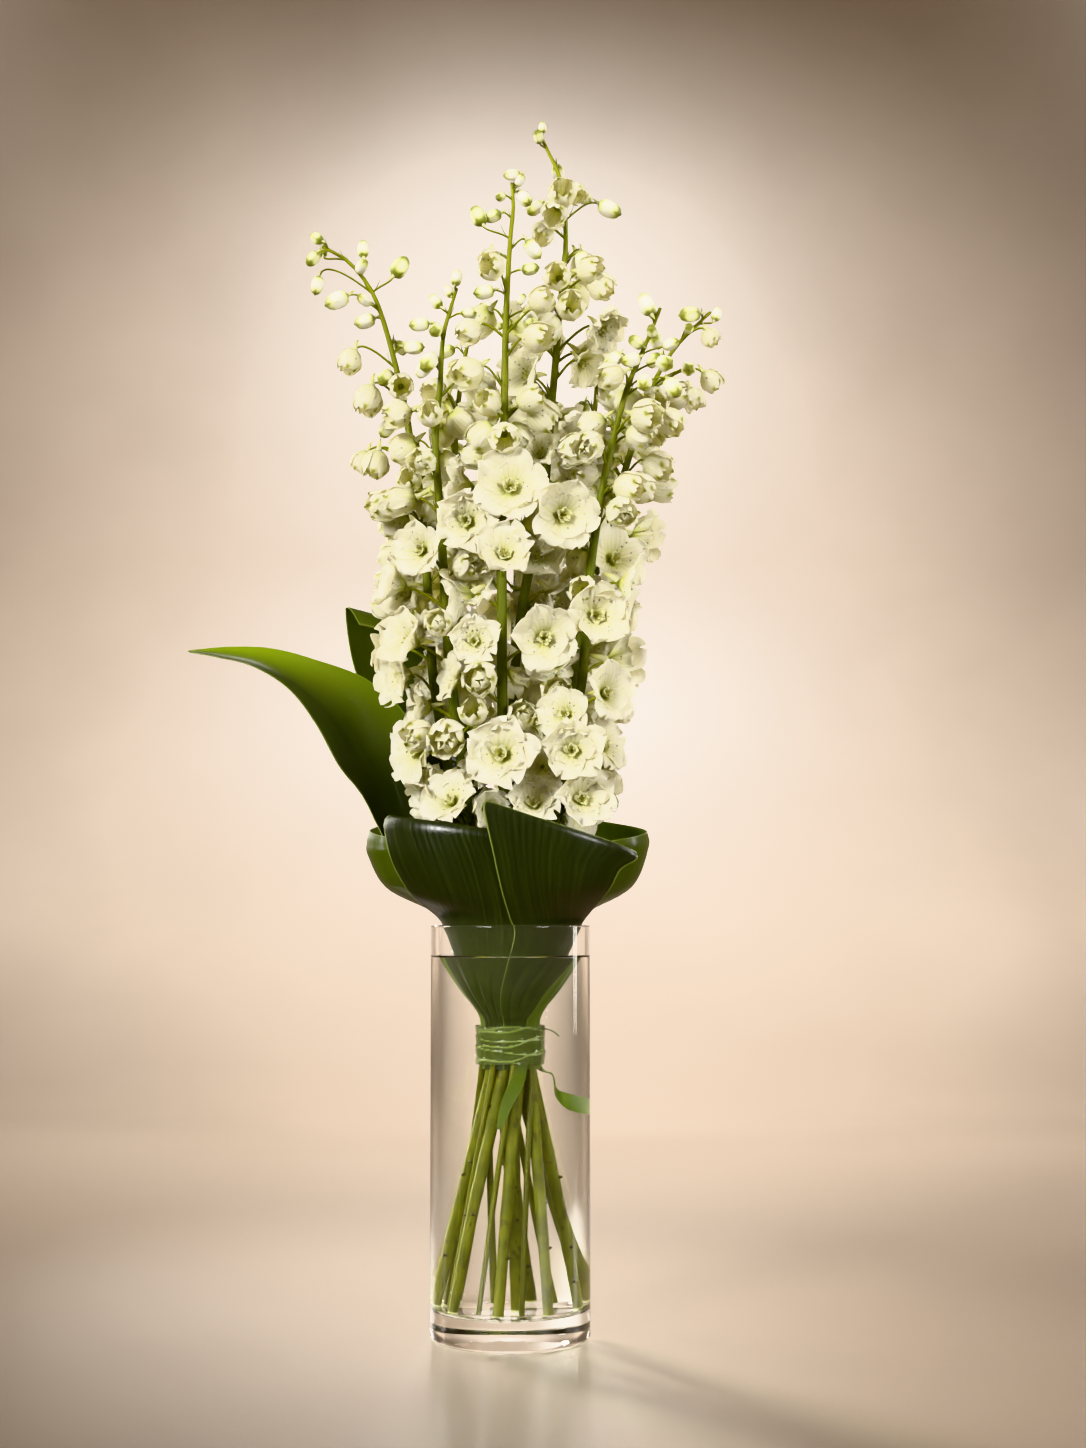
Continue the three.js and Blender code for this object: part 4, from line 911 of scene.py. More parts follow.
class Stuff:
    """Skins gathered into one mesh, with each point's numbers."""

    KEYS = ("along", "across", "green", "dark", "lit")

    def __init__(self):
        self.points, self.faces, self.count = [], [], 0
        self.numbers = {key: [] for key in self.KEYS}

    def add(self, points, faces, **numbers):
        self.points.append(points)
        self.faces += [tuple(i + self.count for i in face) for face in faces]
        self.count += len(points)
        for key in self.KEYS:
            number = np.asarray(numbers.get(key, 0.0), float)
            self.numbers[key].append(np.broadcast_to(number, (len(points),)))

    def blade(self, grid, thick, **numbers):
        """A thin blade over a grid. Numbers for the grid's points are kept on both faces."""
        both = {key: np.tile(np.ravel(n), 2) if np.ndim(n) else n for key, n in numbers.items()}
        self.add(*shell(grid, thick), **both)

    def rod(self, path, radii, sides, **numbers):
        """A round rod along a path, closed at both ends. A number may be one for each point of the path."""
        path = np.asarray(path, float)
        ways = np.gradient(path, axis=0)
        ways /= np.linalg.norm(ways, axis=1, keepdims=True)
        side = np.array([1.0, 0, 0]) if abs(ways[0, 0]) < 0.9 else np.array([0, 1.0, 0])
        turn, rings = circle_of(sides), []
        for place, way, radius in zip(path, ways, np.broadcast_to(radii, (len(path),))):
            side = unit(side - way * (side @ way))
            up = np.cross(way, side)
            rings.append(place + radius * (np.outer(np.cos(turn), side) + np.outer(np.sin(turn), up)))
        points = np.vstack([path[:1], *rings, path[-1:]])
        spread = {key: np.concatenate([n[:1], np.repeat(n, sides), n[-1:]]) if np.ndim(n) else n
                  for key, n in numbers.items()}
        self.add(points, closed_faces(len(path), sides), **spread)

    def mesh(self, name):
        numbers = {key: np.concatenate(value).astype(np.float32) for key, value in self.numbers.items()}
        return smooth_mesh(name, np.vstack(self.points), self.faces, **numbers)


# ---- flower heads, of unit size and facing +Z ----
PETAL_THICK = 0.016
YELLOW_GREEN = 0.62
WIDEST = 0.58  # how far along a petal is at its widest


def luck_of(seed):
    """Repeatable numbers from -0.5 to 0.5."""
    return lambda n: chance(seed + n) - 0.5


def petal(stuff, spin, start, angles, length, width, cup, wave, phase, green, cells=(8, 8), tip=0.0):
    """One round petal: it starts at (radius, height) and its line leans from the facing axis by three angles
    in turn. Its green starts at the first number and fades along it at the second."""
    rows, columns = cells
    a = 1 - (1 - np.linspace(0, 1, rows + 1)) ** 1.4
    c = np.linspace(-1, 1, columns + 1)
    lean = np.radians(through([0, 0.5, 1], [[angle] for angle in angles], a)[:, 0])
    steps, middle = np.diff(a) * length, (lean[1:] + lean[:-1]) / 2
    r = start[0] + np.concatenate([[0], np.cumsum(np.sin(middle) * steps)])
    w = start[1] + np.concatenate([[0], np.cumsum(np.cos(middle) * steps)])
    swell = mix(0.2, 1, np.sin(np.clip(a / WIDEST, 0, 1) * math.pi / 2))
    fall = np.sqrt(np.clip(1 - np.clip((a - WIDEST) / (1 - WIDEST), 0, 1) ** 2.8, 0.05, 1))
    half = width / 2 * np.where(a < WIDEST, swell, fall)
    out, front = ray(spin), np.array([0, 0, 1.0])
    side = np.array([-out[1], out[0], 0])
    grid = np.zeros((rows + 1, columns + 1, 3))
    for i, share in enumerate(a):
        inward = front * math.sin(lean[i]) - out * math.cos(lean[i])
        onward = out * math.sin(lean[i]) + front * math.cos(lean[i])
        edge = np.maximum(np.abs(c), clamp(share * 2 - 1, 0, 1))
        ruffle = wave * share * edge**2 * np.sin(share * 9 + c * 3 + phase)
        groove = -0.03 * np.exp(-((c / 0.22) ** 2)) * math.sin(share * math.pi)
        rise = cup * half[i] * c**2 + ruffle + groove
        scallop = 0.06 * length * share**3 * np.cos(c * 4.4 + phase * 2)
        scallop -= 0.07 * length * share**5 * np.exp(-((c / 0.28) ** 2))
        grid[i] = out * r[i] + front * w[i] + np.outer(half[i] * c, side)
        grid[i] += np.outer(rise, inward)
        grid[i] += np.outer(scallop, onward)
    along, across = np.meshgrid(a, c, indexing="ij")
    tint = np.clip(green[0] - along * green[1], 0, 1)
    mark = tip * np.clip((along - 0.76) * 8, 0, 1) * np.exp(-((across / 0.36) ** 2))
    stuff.blade(grid, PETAL_THICK, along=along, across=across, green=np.maximum(tint, mark), dark=mark * 0.25)


def back_of_head(stuff, joint, radius, spur):
    """The green joint with the spur behind it."""
    path = [(0, 0, joint - 0.03), (0, 0, joint + 0.06), (0, 0, joint + 0.14)]
    stuff.rod(path, [radius * 0.45, radius, radius * 0.5], 8, green=0.95)
    bend = [(0.02, 0.06, joint + 0.05), (0.05, 0.13, joint - spur * 0.3), (0.07, 0.17, joint - spur * 0.65),
            (0.07, 0.19, joint - spur)]
    stuff.rod(bend, radius * np.array([0.8, 0.62, 0.4, 0.2]), 7, green=[0.3, 0.35, 0.6, 0.9], along=0.2)


def open_floret(seed, lean, ruffle, inner):
    """A wide-open floret: five broad wavy petals, a second whorl of inner ones, a centre and stamens."""
    stuff, luck = Stuff(), luck_of(seed * 57)
    for k in range(5):
        bend = (lean - 8 + luck(k + 5) * 16, lean + 22, lean + 40 + luck(k + 9) * 44)
        petal(stuff, FIFTH * k + luck(k) * 14, (0.09, -0.44 + (k % 2) * 0.04), bend,
              1.08 + luck(k + 12) * 0.16, 1.0 + luck(k + 15) * 0.2, 0.2 + luck(k + 20) * 0.4,
              ruffle * 1.1, luck(k + 25) * 9, (0.9, 2.1))
    for k in range(inner):
        bend = (lean - 4, lean + 20, lean + 16 + luck(k + 33) * 50)
        petal(stuff, 360 * k / inner + 30 + luck(k + 30) * 30, (0.1, -0.38), bend,
              0.72 + luck(k + 36) * 0.2, 0.74 + luck(k + 38) * 0.2, 0.16 + luck(k + 39) * 0.3,
              ruffle * 0.7, luck(k + 40) * 9, (0.9, 1.9), (7, 5))
    for k in range(5):
        bend = (10, 24 + luck(k + 51) * 30, 60 + luck(k + 52) * 60)
        petal(stuff, FIFTH * k + 20 + luck(k + 50) * 30, (0.06, -0.34), bend, 0.36, 0.22, 0.4, 0.03,
              luck(k) * 5, (YELLOW_GREEN, 0.3), (3, 3))
    for k in range(8):
        root, way = ray(k * 45) * 0.04, ray(k * 45 + luck(k + 60) * 34)
        head = way * (0.06 + 0.12 * chance(seed + k)) + (0, 0, -0.06 + 0.14 * luck(k + 66))
        stalk = [root + (0, 0, -0.34), mix(root, head, 0.6) + (0, 0, -0.06), head]
        stuff.rod(stalk, 0.014, 3, green=YELLOW_GREEN)
        stuff.rod([head, head + (0, 0, 0.03), head + (0, 0, 0.06)], [0.014, 0.034, 0.014], 4, dark=k % 3 / 2)
    back_of_head(stuff, -0.5, 0.15, 0.5)
    return stuff


def bell_floret(seed, mouth, ruffle, inner):
    """A half-open floret: five overlapping petals with green-brown tips, round a short second whorl."""
    stuff, luck = Stuff(), luck_of(seed * 91)
    for k in range(5):
        bend = (78, 10 + luck(k + 3) * 10, mouth + luck(k + 6) * 20)
        petal(stuff, FIFTH * k + luck(k) * 16, (0.12 + (k % 2) * 0.06, -1.02), bend, 2.15 + luck(k + 9) * 0.3,
              1.5, 0.4, ruffle, luck(k + 12) * 9, (0.8, 2.2), (9, 7), tip=1.0)
    for k in range(inner):
        bend = (46, 4, mouth - 30 + luck(k + 23) * 50)
        petal(stuff, 360 / inner * k + 36 + luck(k + 20) * 24, (0.1, -0.8), bend, 1.7 + luck(k + 24) * 0.3,
              0.95, 0.3, ruffle * 1.6, luck(k + 26) * 9, (YELLOW_GREEN, 0.4), (6, 5))
    back_of_head(stuff, -1.05, 0.26, 0.75)
    return stuff


def bud_floret(seed, high, greenness):
    """A closed bud: five sepals folded to a green-brown point, with a short spur."""
    stuff = Stuff()
    rows, columns, low = 10, 15, -1.3
    a = np.linspace(0, 1, rows + 2)[1:-1]
    turn = circle_of(columns)
    rings = []
    for share in a:
        width = 0.8 * (1 - abs(2 * share**0.9 - 1) ** 2.5) ** 0.5
        lobed = width * (1 + 0.09 * np.cos(5 * turn + share * 0.9 + seed) * math.sin(share * math.pi) ** 0.5)
        height = np.full(columns, mix(low, high, share))
        rings.append(np.column_stack([np.cos(turn) * lobed, np.sin(turn) * lobed, height]))
    points = np.vstack([[(0, 0, low)], *rings, [(0, 0, high)]])
    share = np.concatenate([[0], np.repeat(a, columns), [1]])
    ridge = np.concatenate([[1], (np.cos(5 * turn[None] + a[:, None] * 0.9 + seed).ravel() + 1) / 2, [1]])
    ends_green = np.clip(1.0 - share * 3, 0, 1) + np.clip((share - 0.62) * 2.6, 0, 1)
    green = np.clip(greenness + ends_green + ridge**3 * 0.3, 0, 1)
    dark = np.clip((share - 0.9) * 6, 0, 0.5)
    stuff.add(points, closed_faces(rows, columns), along=0.85, green=green, dark=dark, lit=1.0)
    tip = [(0, 0, high - 0.08), (0, 0, high + 0.02), (0, 0, high + 0.06)]
    stuff.rod(tip, [0.2, 0.14, 0.05], 6, green=1.0, dark=0.3)
    back_of_head(stuff, low, 0.24, 0.7)
    return stuff


def bract():
    """A small narrow leaf at the foot of a flower stalk, of unit length along +Z."""
    stuff = Stuff()
    a, c = np.linspace(0, 1, 6), np.linspace(-1, 1, 3)
    half = 0.085 * np.sin(np.clip(a + 0.12, 0, 1) ** 0.7 * math.pi * 0.92)
    rows = [np.column_stack([h * c, 0.22 * t**2 + 0.03 * c**2, np.full(3, t)]) for h, t in zip(half, a)]
    along, across = np.meshgrid(a, c, indexing="ij")
    stuff.blade(np.stack(rows), 0.03, along=along * 0.4 + 0.4, across=across)
    return stuff


def nub():
    """The small dull stub that a stripped leaf leaves on a stem, of unit size along +Z."""
    stuff = Stuff()
    path = [(0, 0, -0.5), (0, 0, 0.3), (0, 0.1, 0.8), (0, 0.3, 1.1)]
    stuff.rod(path, [1.1, 0.9, 0.55, 0.35], 6, dark=[0, 1, 1, 1])
    return stuff


KINDS = {
    "open": [open_floret(1, 42, 0.10, 5), open_floret(2, 34, 0.16, 7), open_floret(3, 46, 0.09, 0),
             open_floret(4, 38, 0.20, 8), open_floret(5, 30, 0.12, 3)],
    "bell": [bell_floret(1, -40, 0.05, 0), bell_floret(2, -8, 0.12, 4), bell_floret(3, -32, 0.07, 0),
             bell_floret(4, -22, 0.09, 3)],
    "bud": [bud_floret(1, 1.22, 0.0), bud_floret(2, 1.12, 0.35), bud_floret(3, 1.25, 0.12)],
}
# How much wider than its solid a head is drawn, and its size where a leaf's blade is close.
BIGGER = {"open": 1.08, "bell": 1.0, "bud": 1.02}
CROWDED = {"near": 1.1, "size": 0.82}
CLOSED = {"kinds": (0, 2), "from": 560}  # the bells with closed mouths, for the upper flowers
NODES = {"every": 62, "long": 3, "swell": 0.06}  # the slight swellings of a stem
LONG = 12  # points along a flower stalk


# ---- trees that repeat and that follow paths ----
SOCKETS = {int: "NodeSocketInt", bpy.types.Collection: "NodeSocketCollection",
           bpy.types.Material: "NodeSocketMaterial"}


def grown(name, mesh, tree_of, **inputs):
    """The plain mesh that a tree makes of a starting mesh."""
    tree = bpy.data.node_groups.new(name, "GeometryNodeTree")
    face = tree.interface
    face.new_socket("Geometry", in_out="INPUT", socket_type="NodeSocketGeometry")
    face.new_socket("Geometry", in_out="OUTPUT", socket_type="NodeSocketGeometry")
    made = {key: face.new_socket(key, in_out="INPUT", socket_type=SOCKETS[type(value)])
            for key, value in inputs.items()}
    t = Tree(tree)
    start = t.add("NodeGroupInput")
    real = t.add("GeometryNodeRealizeInstances", {"Geometry": tree_of(t, start)})[0]
    dressed = t.add("GeometryNodeSetMaterial", {"Geometry": real, "Material": start["Finish"]})[0]
    t.add("NodeGroupOutput", {"Geometry": dressed})
    holder = placed(name, mesh)
    modifier = holder.modifiers.new(name, "NODES")
    modifier.node_group = tree
    for key, value in inputs.items():
        modifier[made[key].identifier] = value
    graph = bpy.context.evaluated_depsgraph_get()
    result = bpy.data.meshes.new_from_object(
        holder.evaluated_get(graph), preserve_all_data_layers=True, depsgraph=graph)
    bpy.data.objects.remove(holder)
    bpy.data.node_groups.remove(tree)
    result.name = name
    return result


def named(t, name, kind):
    return t.add("GeometryNodeInputNamedAttribute", {"Name": name}, data_type=kind)[0]


def heads_tree(t, start):
    """Stands one of a collection's heads on each point, turned and sized as the point says."""
    heads = t.add("GeometryNodeCollectionInfo", {
        "Collection": start["Heads"], "Separate Children": True, "Reset Children": True})[0]
    turned = t.add("FunctionNodeEulerToRotation", {0: named(t, "turn", "FLOAT_VECTOR")})[0]
    return t.add("GeometryNodeInstanceOnPoints", {
        "Points": start["Geometry"], "Instance": heads, "Pick Instance": True,
        "Instance Index": named(t, "which", "INT"), "Rotation": turned,
        "Scale": named(t, "size", "FLOAT")})[0]


def rods_tree(t, start):
    """A round rod along each path, as thick as the path's points say."""
    radius = named(t, "thick", "FLOAT")
    lines = t.add("GeometryNodeMeshToCurve", {"Mesh": start["Geometry"]})[0]
    sized = t.add("GeometryNodeSetCurveRadius", {"Curve": lines, "Radius": radius})[0]
    ring = t.add("GeometryNodeCurvePrimitiveCircle", {"Resolution": start["Sides"], "Radius": 1.0})[0]
    rods = t.add("GeometryNodeCurveToMesh", {
        "Curve": sized, "Profile Curve": ring, "Fill Caps": True, "Scale": radius})[0]
    return t.add("GeometryNodeSetShadeSmooth", {"Geometry": rods})[0]


def heads_collection(name, stuffs):
    """A collection of heads, in the order that a point's kind counts."""
    collection = bpy.data.collections.new(name)
    for n, stuff in enumerate(stuffs):
        part = f"{name} {n:02d}"
        collection.objects.link(bpy.data.objects.new(part, stuff.mesh(part)))
    return collection


def points_mesh(rows):
    """A mesh of points with the way each is turned, its size, its kind and its tone."""
    mesh = new_mesh("points", [tuple(row["place"] * MM) for row in rows], [], [])
    turn = mesh.attributes.new("turn", "FLOAT_VECTOR", "POINT")
    turn.data.foreach_set("vector", np.array([row["turn"] for row in rows], np.float32).ravel())
    for key, kind in (("size", "FLOAT"), ("tone", "FLOAT"), ("which", "INT")):
        write_numbers(mesh, key, [row[key] for row in rows], kind)
    return mesh


def paths_mesh(paths):
    """A mesh of open paths, each a list of points, radii and a youth from 0 at the foot to 1 at the tip."""
    points, edges, thick, young = [], [], [], []
    for path, radii, youth in paths:
        edges += [(len(points) + i, len(points) + i + 1) for i in range(len(path) - 1)]
        points += [tuple(p * MM) for p in path]
        thick += list(np.asarray(radii) * MM)
        young += list(youth)
    return new_mesh("paths", points, edges, [], thick=thick, along=young)


def turn_of(across, up, facing):
    """Euler angles of something whose own axes point these ways."""
    return tuple(Matrix((across, up, facing)).transposed().to_euler())


def stem_path(spike):
    """The whole stem, from its cut foot to its tip, slightly swollen at its nodes."""
    heights = np.concatenate([np.linspace(spike.foot, 200, 40), np.linspace(205, spike.tip, 70)])
    radii = np.array([spike.radius(z) for z in heights])
    from_node = (heights + spike.slot * 13) % NODES["every"] - NODES["every"] / 2
    swollen = 1 + NODES["swell"] * np.exp(-((from_node / NODES["long"]) ** 2))
    youth = np.clip((heights - 250) / 480, 0, 1) ** 1.2
    return spike.points(heights), radii * swollen, youth


def stalk_path(flower):
    """The flower stalk as a smooth bend from the stem's middle into the back of the head."""
    root, joint = flower.stalk[0], flower.stalk[-1]
    length = float(np.linalg.norm(joint - root))
    out = unit((joint - root) * (1, 1, 0) + (0, 0, 1e-6))
    rise = out * 0.75 + np.array([0, 0, 0.66])
    first = root + rise * length * 0.42
    second = joint - flower.facing * length * 0.30
    t = np.linspace(0, 1, LONG)[:, None]
    path = (1 - t) ** 3 * root + 3 * (1 - t) ** 2 * t * first + 3 * (1 - t) * t**2 * second + t**3 * joint
    thick = {"open": 0.85, "bell": 0.75, "bud": 0.62}[flower.kind]
    return path, thick * np.linspace(1.15, 0.9, LONG), np.linspace(0.55, 0.95, LONG)


def blade_points():
    """Points all over the leaves above the vase."""
    grids = [blade_grid(rows, np.linspace(FREE, len(rows) - 1, 5 * len(rows)), np.linspace(-1, 1, 17))
             for _, _, rows in LEAVES.values()]
    return np.vstack([grid.reshape(-1, 3) for grid in grids])


BLADES = blade_points()


def drawn_size(flower):
    """How wide a head is drawn, less where a leaf is close."""
    away = np.linalg.norm(BLADES - flower.centre, axis=1).min()
    return flower.scale * (CROWDED["size"] if away < CROWDED["near"] * flower.scale else BIGGER[flower.kind])


def spike_pieces(spike, flowers, heads, bracts, petals, green):
    """A spike as two pieces: its flower heads, and its stem with flower stalks, small bracts and stubs."""
    kinds = {kind: len(made) for kind, made in KINDS.items()}
    first = {"open": 0, "bell": kinds["open"], "bud": kinds["open"] + kinds["bell"]}
    rows, small, paths = [], [], [stem_path(spike)]
    for n, flower in enumerate(flowers):
        across, up = sides_of(flower.facing)
        roll = math.radians(flower.roll % (FIFTH / 2))
        turned = across * math.cos(roll) + up * math.sin(roll)
        kind = int(chance(n * 7 + spike.slot * 31) * kinds[flower.kind])
        if flower.kind == "bell" and flower.centre[2] > CLOSED["from"]:
            kind = CLOSED["kinds"][kind % 2]
        rows.append({
            "place": flower.centre, "turn": turn_of(turned, np.cross(flower.facing, turned), flower.facing),
            "size": drawn_size(flower), "which": first[flower.kind] + kind, "tone": chance(n + 400)})
        paths.append(stalk_path(flower))
        path = paths[-1][0]
        way = unit(unit(path[2] - path[0]) + (0, 0, 0.4))
        small.append({"place": path[1], "turn": turn_of(*sides_of(way), way),
                      "size": mix(*SMALL["bract"], chance(n + 500)), "which": 0, "tone": 0.0})
    for k in range(SMALL["stubs"]):
        z = mix(spike.foot + 12, NECK["low"] - 14, (k + chance(spike.slot * 17 + k)) / SMALL["stubs"])
        way = ray(chance(spike.slot * 23 + k + 0.5) * 360)
        small.append({"place": spike.point(z) + way * spike.radius(z), "turn": turn_of(*sides_of(way), way),
                      "size": mix(*SMALL["stub"], chance(k + 60)), "which": 1, "tone": 0.0})
    node = f"spike_{spike.name}"
    flowers_mesh = grown(f"{node}_flowers", points_mesh(rows), heads_tree, Heads=heads, Finish=petals)
    stem_mesh = grown(f"{node}_stem", paths_mesh(paths), rods_tree, Sides=10, Finish=green)
    small_mesh = grown("bracts", points_mesh(small), heads_tree, Heads=bracts, Finish=green)
    piece_of(f"{node}_flowers", flowers_mesh, node, "petal", petals)
    piece_of(f"{node}_stem", joined(stem_mesh, small_mesh), node, "stem", green)


def joined(*meshes):
    """Meshes made one."""
    objects = [placed("part", mesh) for mesh in meshes]
    with bpy.context.temp_override(active_object=objects[0], selected_editable_objects=objects):
        bpy.ops.object.join()
    mesh = objects[0].data
    bpy.data.objects.remove(objects[0])
    return mesh


# ---- the pieces ----
def make_vase(glass):
    radius, height, base, edge, lip = (VASE[key] for key in ("radius", "height", "base", "edge", "lip"))
    inner, hollow = radius - VASE["wall"], radius - VASE["rim"]
    punt = [(x, VASE["punt"] * (1 - (x / hollow) ** 2) ** 1.5) for x in np.linspace(12, hollow, 5).tolist()]
    mesh = turned_round("vase glass", [
        (0, VASE["punt"]), *punt,
        *rounded(radius - edge, edge, edge, -90, 0, 8),
        *rounded(radius - lip, height - lip, lip, 0, 90, 6),
        *rounded(inner + lip / 2, height - lip / 2, lip / 2, 90, 180, 5),
        *rounded(inner - edge * 2, base + edge * 2, edge * 2, 0, -90, 10),
        (0, base)])
    piece_of("vase_glass", mesh, "vase", "glass", glass)


def make_water(water):
    radius = VASE["radius"] - VASE["wall"] + WATER["into_glass"]
    low, corner, level = VASE["base"] - WATER["into_glass"], VASE["edge"] * 2, WATER["level"]
    mesh = turned_round("water body", [
        (0, low), *rounded(radius - corner, low + corner, corner, -90, 0, 10),
        (radius, level + WATER["meniscus"]), (radius - 0.5, level + WATER["meniscus"] * 0.4),
        (radius - 1.6, level), (0, level)])
    piece_of("water_body", mesh, "water", "water", water)


def make_tie(tape):
    """Clear soft tape wound round in slanting laps, its seam at the back, with an end that stands off."""
    heights = np.linspace(TIE["low"] + TAPE["inset"], TIE["high"] - TAPE["inset"], 34)
    turn, z = np.meshgrid(np.linspace(TAPE["from"], TAPE["to"], 97), heights, indexing="ij")
    way = np.radians(turn)
    lap = ((z - TIE["low"]) / TAPE["lap"] + turn / 360 + 0.2 * np.sin(way * 2 + z * 0.2)) % 1
    cross = ((z - TIE["low"]) / TAPE["cross"] - turn / 180 + 0.2 * np.sin(way * 3)) % 1
    crease = 0.10 * np.sin(way * 6 + z * 0.5)
    radius = TIE["inner"] + TAPE["thick"] + 0.5 * lap**2 + 0.35 * cross**2 + crease
    grid = np.stack([radius * np.cos(way), radius * np.sin(way), z + 0.35 * np.sin(way * 3)], axis=2)
    stuff = Stuff()
    stuff.blade(grid, TAPE["thick"], along=np.maximum(lap, cross), across=crease)
    end = [(15.9, -2, 192), (18, -2.6, 191.5), (21, -3.2, 190), (23.8, -4, 187.3)]
    stuff.rod(through(range(4), end, np.linspace(0, 3, 12)), np.linspace(0.6, 0.45, 12), 8)
    piece_of("tie_tape", stuff.mesh("tie tape"), "tie", "tie", tape)


def pleats(grid, stations, across, phase):
    """How far a leaf's skin stands in and out in soft folds, gathered where the tie draws it in."""
    drawn = np.exp(-(((stations - 3.6) / 1.5) ** 2))[:, None]
    fold = np.sin(across * 11 + phase + stations[:, None] * 0.3) + 0.5 * np.sin(across * 23 + phase * 2)
    return normals_of(grid) * (0.5 * drawn * fold * (1 - across**4))[:, :, None]


# How much paler a leaf is where light falls through it, from along it and across it.
LIT = {
    "leaf_long": lambda a, c: np.clip((a - 0.62) * 4, 0, 0.8) * np.clip(0.45 - c * 0.7, 0.08, 1),
    "leaf_upright": lambda a, c: np.clip((a - 0.5) * 0.8, 0, 0.3) * np.clip(0.5 + c * 0.6, 0, 1),
}


def make_leaves(dark_leaf, backlit_leaf):
    across = np.linspace(-1, 1, 33)
    for name, (gap, _, rows) in LEAVES.items():
        stations = np.linspace(0, len(rows) - 1, 6 * len(rows))
        grid = blade_grid(rows, stations, across)
        grid = grid + pleats(grid, stations, across, gap)
        along, beside = np.meshgrid(stations / stations[-1], across, indexing="ij")
        lit = LIT[name](along, beside) if name in LIT else 0.0
        stuff = Stuff()
        stuff.blade(grid, LEAF["thick"], along=along, across=beside, lit=lit)
        stalk = through(range(4), petiole_points(gap), np.linspace(0, 3, 24))
        stuff.rod(stalk, LEAF["petiole"], 12, along=0.1, green=1.0)
        # leaf_left, leaf_right and the tails take the paler leaf finish, painted as if lit from behind.
        backlit = name in ("leaf_left", "leaf_right")
        finish, slot = (backlit_leaf, "leaf_light") if backlit else (dark_leaf, "leaf")
        piece_of(f"{name}_blade", stuff.mesh(name), name, slot, finish)
    for name, rows in TAILS.items():
        stations = np.linspace(0, len(rows) - 1, 5 * len(rows))
        along, beside = np.meshgrid(stations / stations[-1] * 0.9, across[::4], indexing="ij")
        stuff = Stuff()
        stuff.blade(blade_grid(rows, stations, across[::4]), LEAF["thick"], along=along, across=beside)
        piece_of(f"{name}_blade", stuff.mesh(name), name, "leaf_light", backlit_leaf)


def make_spikes(petals, green):
    flowers = all_flowers()
    heads = heads_collection("heads", [stuff for kind in KINDS.values() for stuff in kind])
    bracts = heads_collection("bract", [bract(), nub()])
    for spike in SPIKES.values():
        own = [flower for flower in flowers if flower.spike is spike]
        spike_pieces(spike, own, heads, bracts, petals, green)
    for collection in (heads, bracts):
        for obj in list(collection.objects):
            bpy.data.objects.remove(obj)
        bpy.data.collections.remove(collection)


# ---- camera, light and table ----
def make_camera():
    data = bpy.data.cameras.new("camera")
    data.sensor_width, data.lens, data.shift_y, data.clip_end = 36.0, 48.38, 0.0919, 60
    camera = placed("camera", data)
    camera.location = (0.0204, -1.22, 0.256)
    camera.rotation_euler = (math.radians(92), 0, 0)
    bpy.context.scene.camera = camera


def make_lamp(name, place, target, size, power, colour, spread):
    data = bpy.data.lights.new(name, "AREA")
    data.shape, data.size, data.size_y, data.energy, data.color = "ELLIPSE", *size, power, colour
    data.spread = math.radians(spread)
    lamp = placed(name, data)
    lamp.location = place
    lamp.rotation_euler = (Vector(target) - Vector(place)).to_track_quat("-Z", "Y").to_euler()


WARM, CLEAR, MIDDLE = (1, 0.95, 0.88), (1, 0.985, 0.965), (0, 0, 0.42)
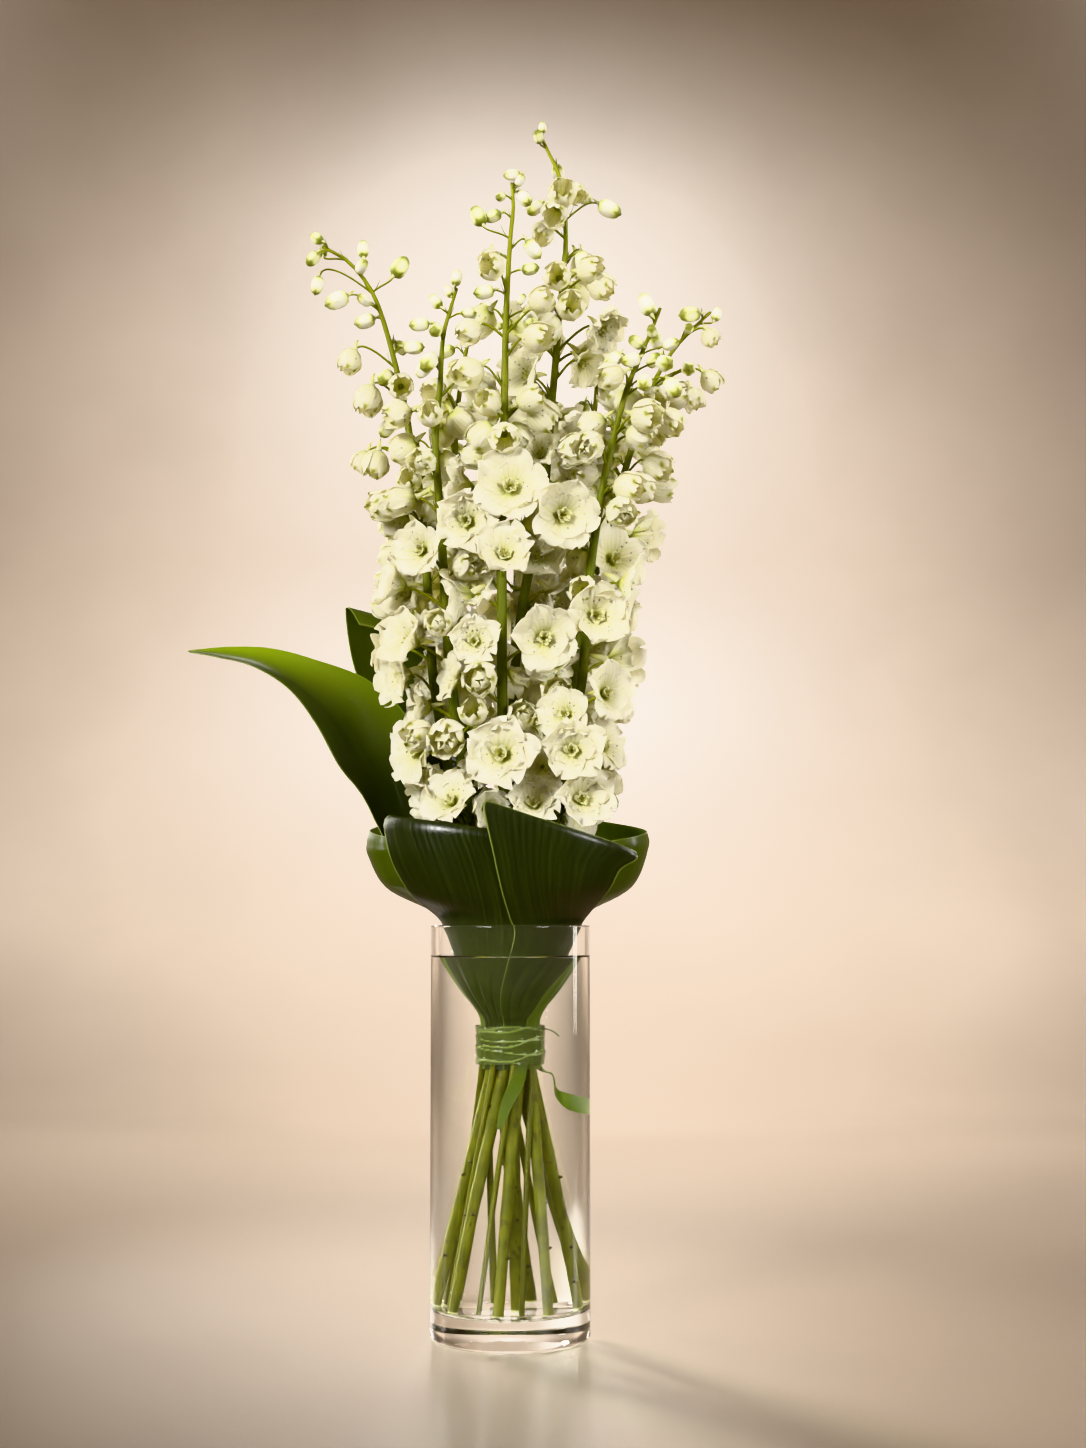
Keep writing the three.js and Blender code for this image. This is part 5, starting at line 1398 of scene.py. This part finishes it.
# Each lamp's name, place, what it is aimed at, size, power, colour and spread in degrees.
LAMPS = [
    ("wall glow", (-0.04, 0.78, 1.75), (-0.08, 2.05, 0.2), (0.9, 0.9), 50, (0.95, 0.98, 1), 114),
    ("low glow", (0.03, 0.95, 0.42), (0.12, 2.2, 0.22), (0.3, 0.3), 9, (0.97, 0.98, 1), 116),
    ("wall left", (-2.2, 1.4, 0.5), (-2, 2.2, 0.3), (0.8, 0.8), 17, WARM, 116),
    ("wall right", (2.3, 1.4, 0.5), (2.1, 2.2, 0.3), (0.8, 0.8), 15, WARM, 112),
    ("top left", (-1.8, 1.2, 2.6), (-1.1, 2.2, 2.1), (0.8, 0.8), 4.6, WARM, 90),
    ("top right", (1.8, 1.2, 2.6), (1.1, 2.2, 2.1), (0.8, 0.8), 3.6, WARM, 90),
    ("floor streak", (-0.86, 1.36, 0.78), (0.18, -0.1, 0), (0.22, 0.22), 2.7, WARM, 23),
    ("far floor", (0.15, 1.25, 2.4), (0.15, 1.0, 0), (1.4, 0.5), 15, WARM, 58),
    ("left strip", (-1.1, 0.35, 0.85), MIDDLE, (0.14, 1.2), 1.7, WARM, 72),
    ("right strip", (1.1, 0.35, 0.7), MIDDLE, (0.14, 1.2), 1.5, WARM, 90),
    ("behind right", (0.75, 1.0, 1.0), (0, 0, 0.7), (0.5, 0.5), 0.45, WARM, 46),
    ("behind left", (-0.85, 0.9, 0.95), (0, 0, 0.68), (0.5, 0.5), 0.55, WARM, 46),
    ("front left", (-1.2, -1.6, 1.2), (0, 0, 0.52), (1.1, 1.1), 5.8, CLEAR, 26),
    ("front right", (1.5, -1.3, 0.9), (0, 0, 0.5), (0.9, 0.9), 2.4, CLEAR, 34),
]


def make_studio():
    """A pale warm sweep: table top in front, rounded up into a plain wall behind."""
    turn, bend, half = SWEEP["turn"], SWEEP["bend"], SWEEP["half"]
    lift = [(turn + bend * math.sin(a), bend * (1 - math.cos(a))) for a in np.linspace(0, math.pi / 2, 25)]
    line = [(SWEEP["front"], 0), *lift, (turn + bend, SWEEP["top"])]
    points = [(x, y, z - SWEEP["under"]) for y, z in line for x in (-half, half)]
    faces = [(i, i + 1, i + 3, i + 2) for i in range(0, len(points) - 2, 2)]
    mesh = new_mesh("studio sweep", points, [], faces)
    mesh.shade_smooth()
    mesh.materials.append(floor_finish())
    sweep = placed("studio_sweep", mesh)
    world = bpy.data.worlds.new("warm room")
    world.use_nodes = True
    room = world.node_tree.nodes["Background"].inputs
    room["Color"].default_value, room["Strength"].default_value = (0.90, 0.77, 0.62, 1), 0.42
    bpy.context.scene.world = world
    for lamp in LAMPS:
        make_lamp(*lamp)
    bpy.context.scene.view_settings.view_transform = "Khronos PBR Neutral"


def main():
    make_camera()
    make_studio()
    make_vase(clear_finish(
        "vase glass", (0.99, 0.995, 0.99), 1.5, (0.90, 0.92, 0.90), (1, 1, 0.3), 30, 0.02))
    make_water(clear_finish(
        "still water", (0.995, 0.995, 0.98), 1.333, (0.97, 0.98, 0.95), (1, 1, 1), 18, 0.01))
    make_tie(tie_finish())
    make_leaves(
        leaf_finish("dark leaf", (0.006, 0.009, 0.002), (0.028, 0.038, 0.008), (0.17, 0.24, 0.006), 0.08),
        # The second leaf finish is a paler copy of the first, painted with light from behind, and it also
        # lets more light through.
        leaf_finish("bright leaf", (0.035, 0.055, 0.002), (0.10, 0.14, 0.006), (0.28, 0.37, 0.01), 0.36))
    make_spikes(petal_finish(), stem_finish())


main()
